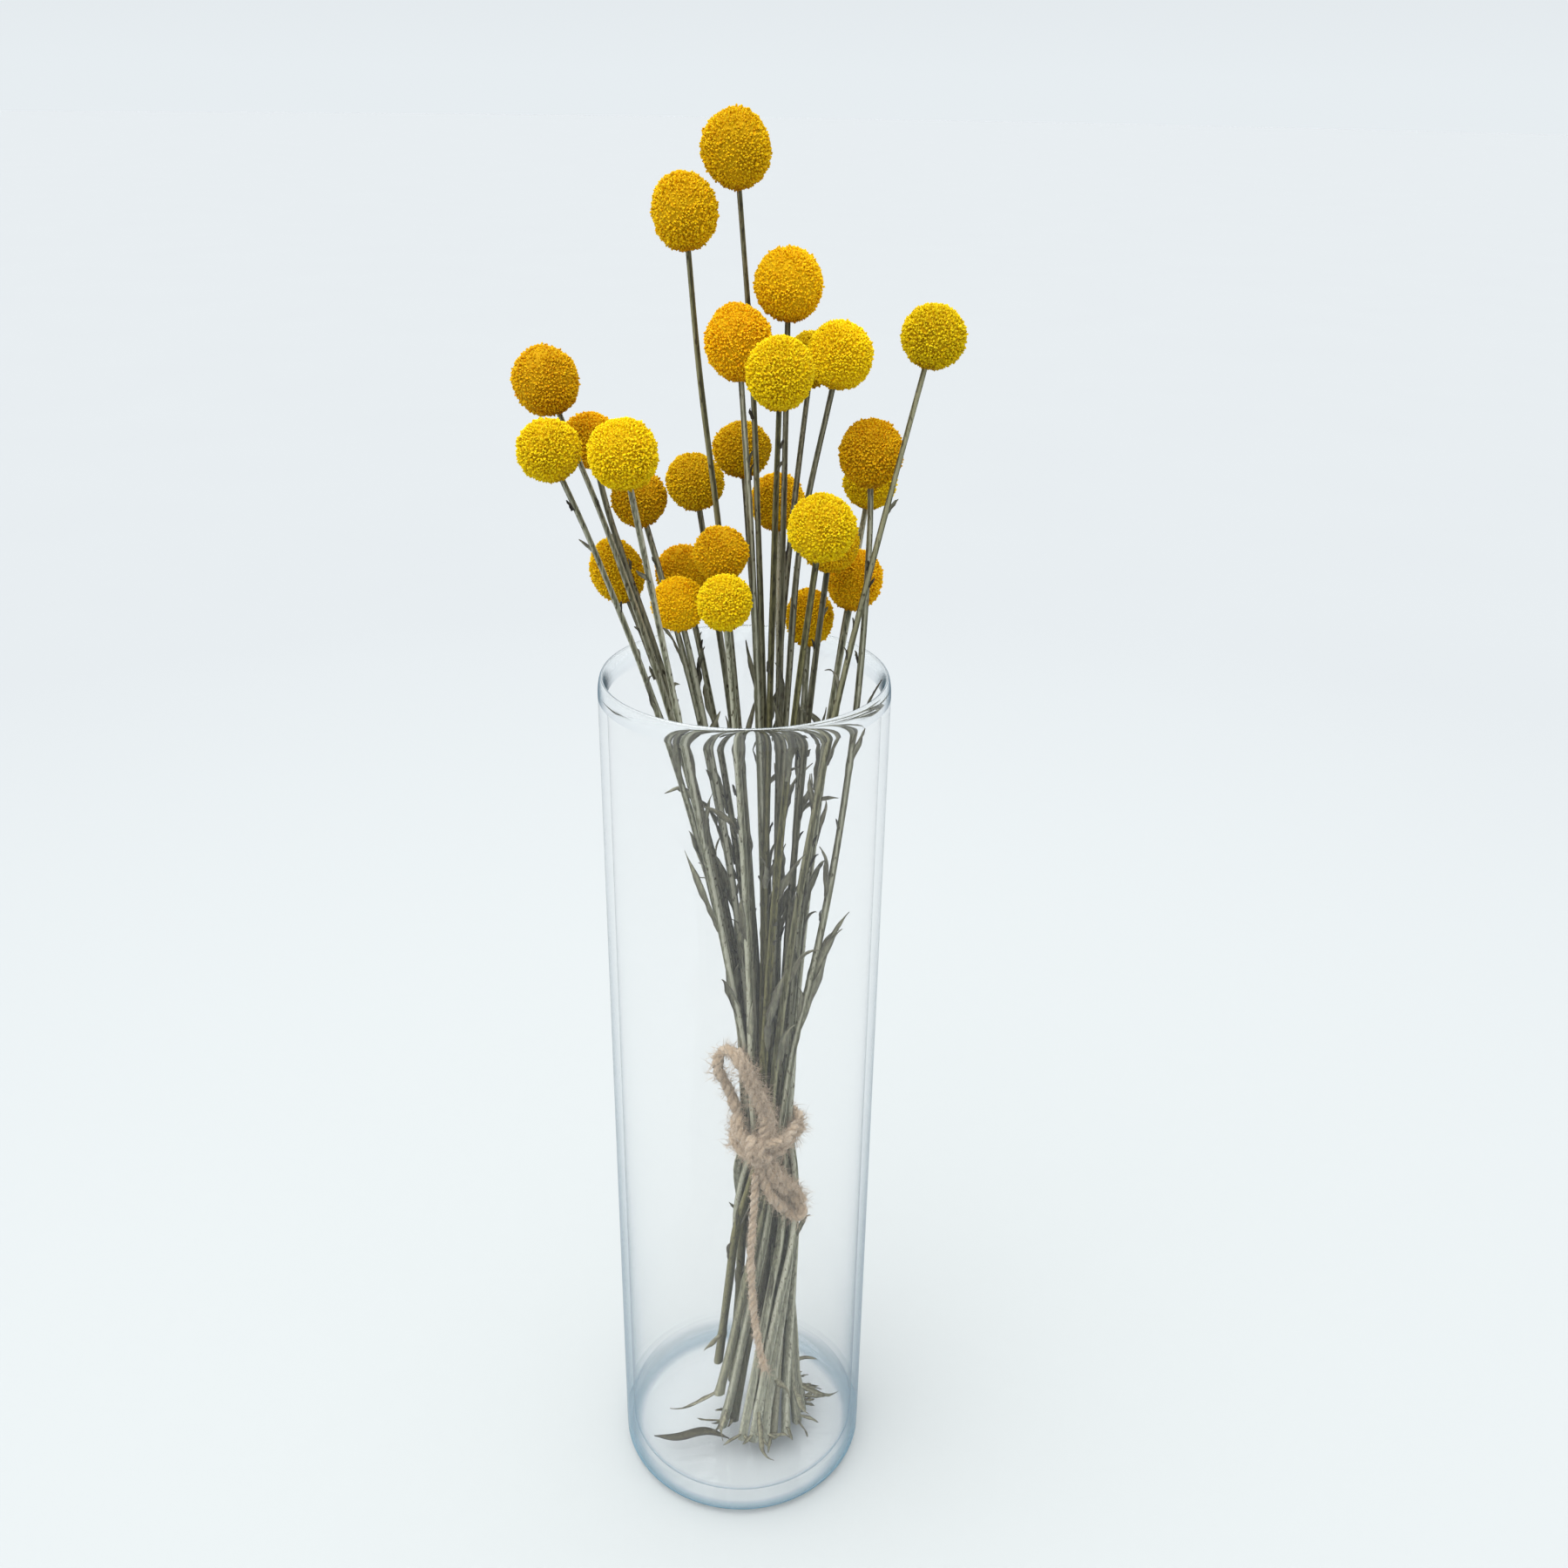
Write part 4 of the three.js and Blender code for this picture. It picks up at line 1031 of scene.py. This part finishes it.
def blade(leaf, rng, thickness, shade):
    """A leaf blade on a leaf's frame: cupped, waved, its tip curled, as a thin closed shell."""
    count, columns = max(7, round(leaf["length"] / 1.6)), BLADE_COLUMNS
    s = np.linspace(0, 1, count)
    k = np.linspace(-1, 1, columns)
    middle, face, side = leaf_frame(leaf, s)
    wide = leaf_width(leaf["width"] * 1.1, s) * np.clip((1.02 - s) * 5, 0.25, 1) / 2
    wide *= 1 + 0.16 * np.sin(s * rng.uniform(12, 20) + rng.uniform(0, 6)) * np.clip(s * 3, 0, 1)
    twist = (rng.uniform(0.6, 2.4) * rng.choice((-1, 1)) * s ** 1.4 * min(1, 22 / leaf["length"])
             + 0.15 * np.sin(s * rng.uniform(5, 9) + rng.uniform(0, 6)))
    curl = rng.uniform(0.2, 1.6) * np.clip(s - 0.6, 0, 1) ** 2 * leaf["length"] * 0.8
    side, face = (side * np.cos(twist)[:, None] + face * np.sin(twist)[:, None],
                  face * np.cos(twist)[:, None] - side * np.sin(twist)[:, None])
    middle = middle + face * curl[:, None] * rng.choice((-1, 1))
    cup = rng.uniform(0.25, 0.8) * rng.choice((-1, 1))
    wave = 0.16 * np.sin(s[:, None] * leaf["length"] * 0.9 + k * 2 + rng.uniform(0, 6)) * np.abs(k)
    rise = (cup * k ** 2 * wide[:, None] + wave * wide[:, None] - 0.1 * (1 - np.abs(k)) * wide[:, None])
    surface = (middle[:, None] + side[:, None] * (k * wide[:, None])[..., None] * 0.93
               + face[:, None] * rise[..., None])
    skin = face[:, None] * thickness / 2
    top, under = (surface + skin).reshape(-1, 3), (surface - skin).reshape(-1, 3)
    quad = sheet_faces(count, columns)
    n = count * columns
    rim = ([r * columns for r in range(count)] + [(count - 1) * columns + c for c in range(1, columns)]
           + [r * columns + columns - 1 for r in range(count - 2, -1, -1)]
           + [c for c in range(columns - 2, 0, -1)])
    edge = [[a, b, b + n, a + n] for a, b in zip(rim, rim[1:] + rim[:1])]
    faces = quad.tolist() + (quad[:, ::-1] + n).tolist() + edge
    grain = grained((count, columns), np.abs(k), s[:, None], shade).reshape(-1, 4)
    return np.vstack([top, under]), faces, np.vstack([grain, grain]), 1


def grow_stem(number):
    """A furrowed stem, swollen where its leaves sit, with its leaves and a few small bracts."""
    s = settings().stems
    plan = greenery()
    route, leaves = plan.routes[number], plan.leaves[number]
    rng = np.random.default_rng(300 + number)
    spots, faces = model_rod()
    line = Curve(route)
    path = line.spaced(400)
    rise = mix(route[0, 2], path[-1, 2], spots[:, 2])
    middle = np.stack([np.interp(rise, path[:, 2], path[:, axis]) for axis in range(3)], 1)
    radius = mix(s.foot_radius, s.neck_radius, np.clip(rise / 480, 0, 1) ** 0.85) / MM
    swell = (1 + 0.1 * np.exp(-(rise - route[0, 2]) / 7)
             + 0.05 * np.sin(rise / 9 + rng.uniform(0, 6)) * np.sin(rise / 23 + rng.uniform(0, 6)))
    for leaf in leaves:
        swell += 0.22 * np.exp(-((rise - leaf["z"]) / 1.6) ** 2)
    turn = rise * rng.uniform(-0.012, 0.012) + rng.uniform(0, 6)
    cos, sin = np.cos(turn), np.sin(turn)
    flat = np.stack([spots[:, 0] * cos - spots[:, 1] * sin, spots[:, 0] * sin + spots[:, 1] * cos], 1)
    body = middle.copy()
    body[:, :2] += flat * (radius * swell)[:, None]
    grain = grained((len(body),), np.hypot(spots[:, 0], spots[:, 1]) > 0.95, rng.uniform(0, 1))
    parts = [(body, faces, grain, 0)]
    shade, thick = rng.uniform(0, 1), s.leaf_thickness / MM
    for leaf in leaves:
        if leaf["angle"] < 1:
            leaf = {**leaf, "angle": leaf["angle"] * 0.55, "bend": leaf["bend"] * 0.7}
        parts.append(blade(leaf, rng, thick, np.clip(shade + rng.uniform(-0.3, 0.3), 0, 1)))
    top = FLOWERS[number][2] - FLOWERS[number][4] / 2
    # Low, high, how many, length, width, angle, bend: withered leaves that hug the stem, and bracts.
    for low, high, count, length, width, angle, bend in (
            (190, 330, (2, 4), (14, 34), (1.8, 3.6), (0.02, 0.1), (0.1, 0.5)),
            (60, 125, (1, 3), (9, 18), (1.6, 2.6), (0.02, 0.1), (0.1, 0.4)),
            (200, top - 8, (3, 7), (3, 6.5), (0.7, 1.3), (0.12, 0.2), (0.1, 0.5))):
        for _ in range(rng.integers(*count)):
            z, heading = rng.uniform(low, high), rng.uniform(0, 2 * math.pi)
            point, along = (v[0] for v in at(route, z))
            out = level_way(heading)
            out = unit(out - along * out.dot(along))
            sprig = dict(root=point + out * stem_radius(z) * 0.7, up=along, out=out, roll=0,
                         length=rng.uniform(*length), width=rng.uniform(*width),
                         angle=rng.uniform(*angle), bend=rng.uniform(*bend))
            parts.append(blade(sprig, rng, thick, rng.uniform(0, 0.9) + (length[1] < 8)))
    foot = route[0]
    for _ in range(2 if foot[2] < 15 else 0):  # splinters and withered strips at the cut foot
        heading = math.atan2(foot[1], foot[0]) + rng.uniform(-1.1, 1.1)
        out = level_way(heading)
        strip = dict(root=foot + (*out[:2] * 1.2, rng.uniform(1.5, 4.5)), up=np.array((0, 0, 1.0)),
                     out=out, roll=rng.uniform(-0.6, 0.6), length=rng.uniform(4, 10),
                     width=rng.uniform(0.9, 1.8), angle=rng.uniform(1.5, 1.85),
                     bend=rng.uniform(-0.5, 0.1))
        parts.append(blade(strip, rng, thick, rng.uniform(0, 0.8)))
    grain[:, 2] = 0.9 * rng.uniform(0, 1) ** 1.3
    stem = shells(f"leafy_stem_{number + 1:02}", parts, [stem_finish(), leaf_finish()])
    pick(stem)
    with editing():
        bpy.ops.mesh.normals_make_consistent(inside=False)
    bpy.ops.object.shade_smooth_by_angle(angle=math.radians(60))
    belongs(stem, f"flower_stem_{number + 1:02}")


def spun(route, radius, seed, hairs=18.0, longest=7.0, frayed=False):
    """Twine along a route in mm: twisted plies and loose fibres, and a frayed far end if asked."""
    s = settings().twine
    rng = np.random.default_rng(seed)
    along, aside, other = frames_along(route)
    gone = np.insert(np.cumsum(np.linalg.norm(np.diff(route, axis=0), axis=1)), 0, 0)
    lay, fuzz = s.lay_length / MM, s.fuzz / MM
    parts, count = [], len(route)
    uneven = 1 + 0.09 * np.sin(gone * 0.9 + seed) + 0.08 * np.sin(gone * 0.37 + 2 * seed)
    ply, orbit = radius * 0.6, radius * 0.44
    surfaces = []
    for i in range(PLIES):
        angle = gone / lay * 2 * math.pi + i * 2 * math.pi / PLIES + seed
        off = aside * np.cos(angle)[:, None] + other * np.sin(angle)[:, None]
        line = route + off * (orbit * uneven)[:, None]
        _, ply_aside, ply_other = frames_along(line)
        turn = np.arange(PLY_SIDES) * 2 * math.pi / PLY_SIDES
        rib = (1 + 0.10 * np.sin(3 * turn[None] + gone[:, None] * 4.0)
               + rng.normal(0, 0.03, (count, PLY_SIDES)))
        ring = (ply_aside[:, None] * np.cos(turn)[None, :, None]
                + ply_other[:, None] * np.sin(turn)[None, :, None])
        ring = ring * (ply * uneven[:, None] * rib)[..., None]
        points = (line[:, None] + ring).reshape(-1, 3)
        height = np.linalg.norm(points - np.repeat(route, PLY_SIDES, 0), axis=1) / radius
        grain = grained((len(points),), np.clip(height, 0, 1), rng.uniform(0, 1), 0)
        parts.append((points, tube_faces(count, PLY_SIDES), grain, 0))
        surfaces.append(points.reshape(count, PLY_SIDES, 3))
    total = int(gone[-1] * hairs)
    for h in range(total + (40 if frayed else 0)):
        if h < total:
            where = rng.integers(1, count - 1)
            length = min(rng.uniform(0.5, 1.25) ** 3 * 2.2 * fuzz, longest)
            pull = along[where] * rng.choice((-1, 1)) * rng.uniform(0.3, 1.4)
        else:
            where, length = count - 1, rng.uniform(1.2, 3.0) * fuzz
            pull = along[where] * rng.uniform(1.5, 3)
        root = surfaces[rng.integers(PLIES)][where, rng.integers(PLY_SIDES)]
        out = unit(root - route[where] + 1e-9)
        start = unit(out + pull)
        drift = unit(rng.normal(0, 1, 3)) * 0.9
        mids = np.array([root - out * 0.15, root + start * length * 0.5,
                         root + unit(start + drift) * length])
        thick = rng.uniform(0.05, 0.11)
        across = unit(np.cross(start, (0.31, 0.52, 0.8)))
        third = np.cross(start, across)
        ring = np.array([across, -0.5 * across + 0.87 * third, -0.5 * across - 0.87 * third])
        points = np.vstack([mids[0] + ring * thick, mids[1] + ring * thick * 0.8, mids[2:]])
        faces = [[0, 1, 4, 3], [1, 2, 5, 4], [2, 0, 3, 5], [3, 4, 6], [4, 5, 6], [5, 3, 6], [2, 1, 0]]
        grain = np.tile((0.95, rng.uniform(0, 1), 1, 1), (7, 1))
        parts.append((points, faces, grain, 0))
    return parts


def fine(points, step=0.5, closed=False):
    """Points along a smooth curve, so many millimetres apart."""
    line = Curve(points, closed)
    return line.spaced(max(4, round(line.length / step)))


def twine_piece(name, parts, node_name):
    piece = shells(name, parts, [jute_finish()])
    pick(piece)
    bpy.ops.object.shade_smooth_by_angle(angle=math.radians(50))
    belongs(piece, node_name)
    return piece


def hang_tail():
    """The loose end of the twine, which hangs down the front and ends in a frayed cut."""
    s = settings().twine
    route = fine(TAIL, 0.45)
    tail = twine_piece("twine_tail", spun(route, s.tail_radius / MM, 11, longest=1.6), "jute_tail")
    brush = spun(route[-9:], s.tail_radius / MM * 0.9, 12, hairs=12.0, frayed=True)
    fray = twine_piece("twine_tail_fray", brush, "jute_tail")


def tie_bow():
    """Two turns of twine round the bunch, a knot in front, and the bow's two loops."""
    s = settings().twine
    plan = greenery()
    radius = s.radius / MM
    parts = []
    for i, turn in enumerate(plan.turns):
        start = int(np.argmin(turn[:, 1]))
        parts += spun(fine(np.roll(turn, -start, 0), closed=True), radius * 0.95, 21 + i)
    for i, loop in enumerate(plan.loops):
        parts += spun(fine(loop), radius, 31 + i)
    # Where the loops come back over the front, their plies have come loose and lie side by side.
    parts += spun(fine(plan.loops[0][-13:] + (2.3, -0.3, 0.4)), radius * 0.75, 51, hairs=34.0)
    parts += spun(fine(plan.loops[1][1:9] + (2.2, -0.2, 1.6)), radius * 0.75, 52, hairs=30.0)
    x, z = KNOT
    y = front(plan.routes, x, z) - 3.75 + TWINE_RADIUS
    t = np.linspace(0, 1, 26)
    wrap = np.stack([x - 3.6 + 7.0 * t, y - 0.4 - 2.3 * np.cos(4 * math.pi * t),
                     z + 0.6 + 5.0 * np.sin(4 * math.pi * t)], 1)
    parts += spun(fine(wrap), radius, 41, hairs=30.0)
    across = [(x - 4.6, y + 1.5, z + 2.5), (x - 3, y - 1.0, z + 3), (x, y - 3.2, z + 1),
              (x + 3, y - 1.2, z - 2), (x + 4.4, y + 1.5, z - 2.6)]
    parts += spun(fine(across), radius * 0.95, 42)
    stub = [(x + 2, y - 1.5, z + 4), (x + 5.5, y - 2.5, z + 6.5), (x + 9, y - 3, z + 8)]
    parts += spun(fine(stub), radius * 0.8, 43, frayed=True)
    twine_piece("twine_bow", parts, "jute_tie")


def drop_leaf():
    """A leaf that has fallen to the vase's floor."""
    left, right, y, width, arch = FALLEN_LEAF
    rows = 26
    s = np.linspace(-1, 1, rows)
    k = np.linspace(-1, 1, BLADE_COLUMNS)
    wide = np.maximum(0.5, width * (1 - s * s)) / 2
    middle = np.stack([(left + right) / 2 + s * (right - left) / 2, y + 1.6 * np.sin(3.4 * s),
                       FLOOR_TOP + 0.35 + arch * (1 - s * s)], 1)
    lift = 0.35 * np.abs(k) ** 2 * wide[:, None] + 0.12 * np.sin(6 * s)[:, None] * np.abs(k)
    surface = np.repeat(middle[:, None], BLADE_COLUMNS, 1)
    surface[..., 1] += k * wide[:, None]
    surface[..., 2] += lift
    grain = grained((rows, BLADE_COLUMNS), np.abs(k), (s[:, None] + 1) / 2, 1.45)
    quads = np.roll(sheet_faces(rows, BLADE_COLUMNS)[:, ::-1], 1, axis=1)  # the other way up
    leaf = shells("dropped_leaf", [(surface.reshape(-1, 3), quads.tolist(), grain.reshape(-1, 4), 0)],
                  [leaf_finish()])
    pick(leaf)
    wall = leaf.modifiers.new("thickness", "SOLIDIFY")
    wall.thickness, wall.offset = settings().stems.leaf_thickness, 0
    bpy.ops.object.modifier_apply(modifier=wall.name)
    bpy.ops.object.shade_smooth_by_angle(angle=math.radians(50))
    belongs(leaf, "fallen_leaf")


# ------------------------------------------------------------ operators and panel


def operator(idname, label, text, action):
    def execute(self, context):
        deselect()
        action()
        return {"FINISHED"}

    return type(idname.replace(".", "_OT_").upper(), (bpy.types.Operator,), {
        "bl_idname": idname, "bl_label": label, "__doc__": text, "execute": execute})


OPERATORS = [
    operator("bouquet.camera", "Place camera",
             "Places the camera in front of and above the bunch", place_camera),
    operator("bouquet.tail", "Hang twine tail",
             "Hangs the loose end of the twine down the front", hang_tail),
    operator("bouquet.stage", "Lay stage", "Lays the pale floor and its soft light", lay_stage),
    operator("bouquet.vase", "Blow vase", "Turns the glass cylinder vase", blow_vase),
    operator("bouquet.stems", "Grow stems", "Grows every stem with its leaves",
             lambda: [grow_stem(i) for i in range(len(FLOWERS))]),
    operator("bouquet.heads", "Dress heads", "Dresses every flower head with florets",
             lambda: [dress_head(i) for i in range(len(FLOWERS))]),
    operator("bouquet.bow", "Tie bow", "Ties the jute twine round the bunch", tie_bow),
    operator("bouquet.leaf", "Drop leaf", "Lays a fallen leaf on the vase's floor", drop_leaf),
]


class BOUQUET_PT_panel(bpy.types.Panel):
    bl_label = "Dried bouquet"
    bl_idname = "BOUQUET_PT_panel"
    bl_space_type = "VIEW_3D"
    bl_region_type = "UI"
    bl_category = "Flowers"

    def draw(self, context):
        for step in OPERATORS:
            self.layout.operator(step.bl_idname)
        for name in ("flowers", "stems", "twine", "vase", "finishes"):
            box = self.layout.box()
            box.label(text=name.title())
            group = getattr(context.scene.bouquet, name)
            for key in group.__annotations__:
                box.prop(group, key)


CLASSES = [FlowerSizes, StemSizes, TwineSizes, VaseSizes, Finishes, BouquetSettings, *OPERATORS,
           BOUQUET_PT_panel]


def register():
    for made in CLASSES:
        bpy.utils.register_class(made)
    bpy.types.Scene.bouquet = bpy.props.PointerProperty(type=BouquetSettings)


def unregister():
    del bpy.types.Scene.bouquet
    for made in reversed(CLASSES):
        bpy.utils.unregister_class(made)


def main():
    register()
    for step in OPERATORS:
        group, name = step.bl_idname.split(".")
        if getattr(getattr(bpy.ops, group), name)() != {"FINISHED"}:
            raise RuntimeError(f"{step.bl_idname} did not finish")


if __name__ == "__main__":
    main()
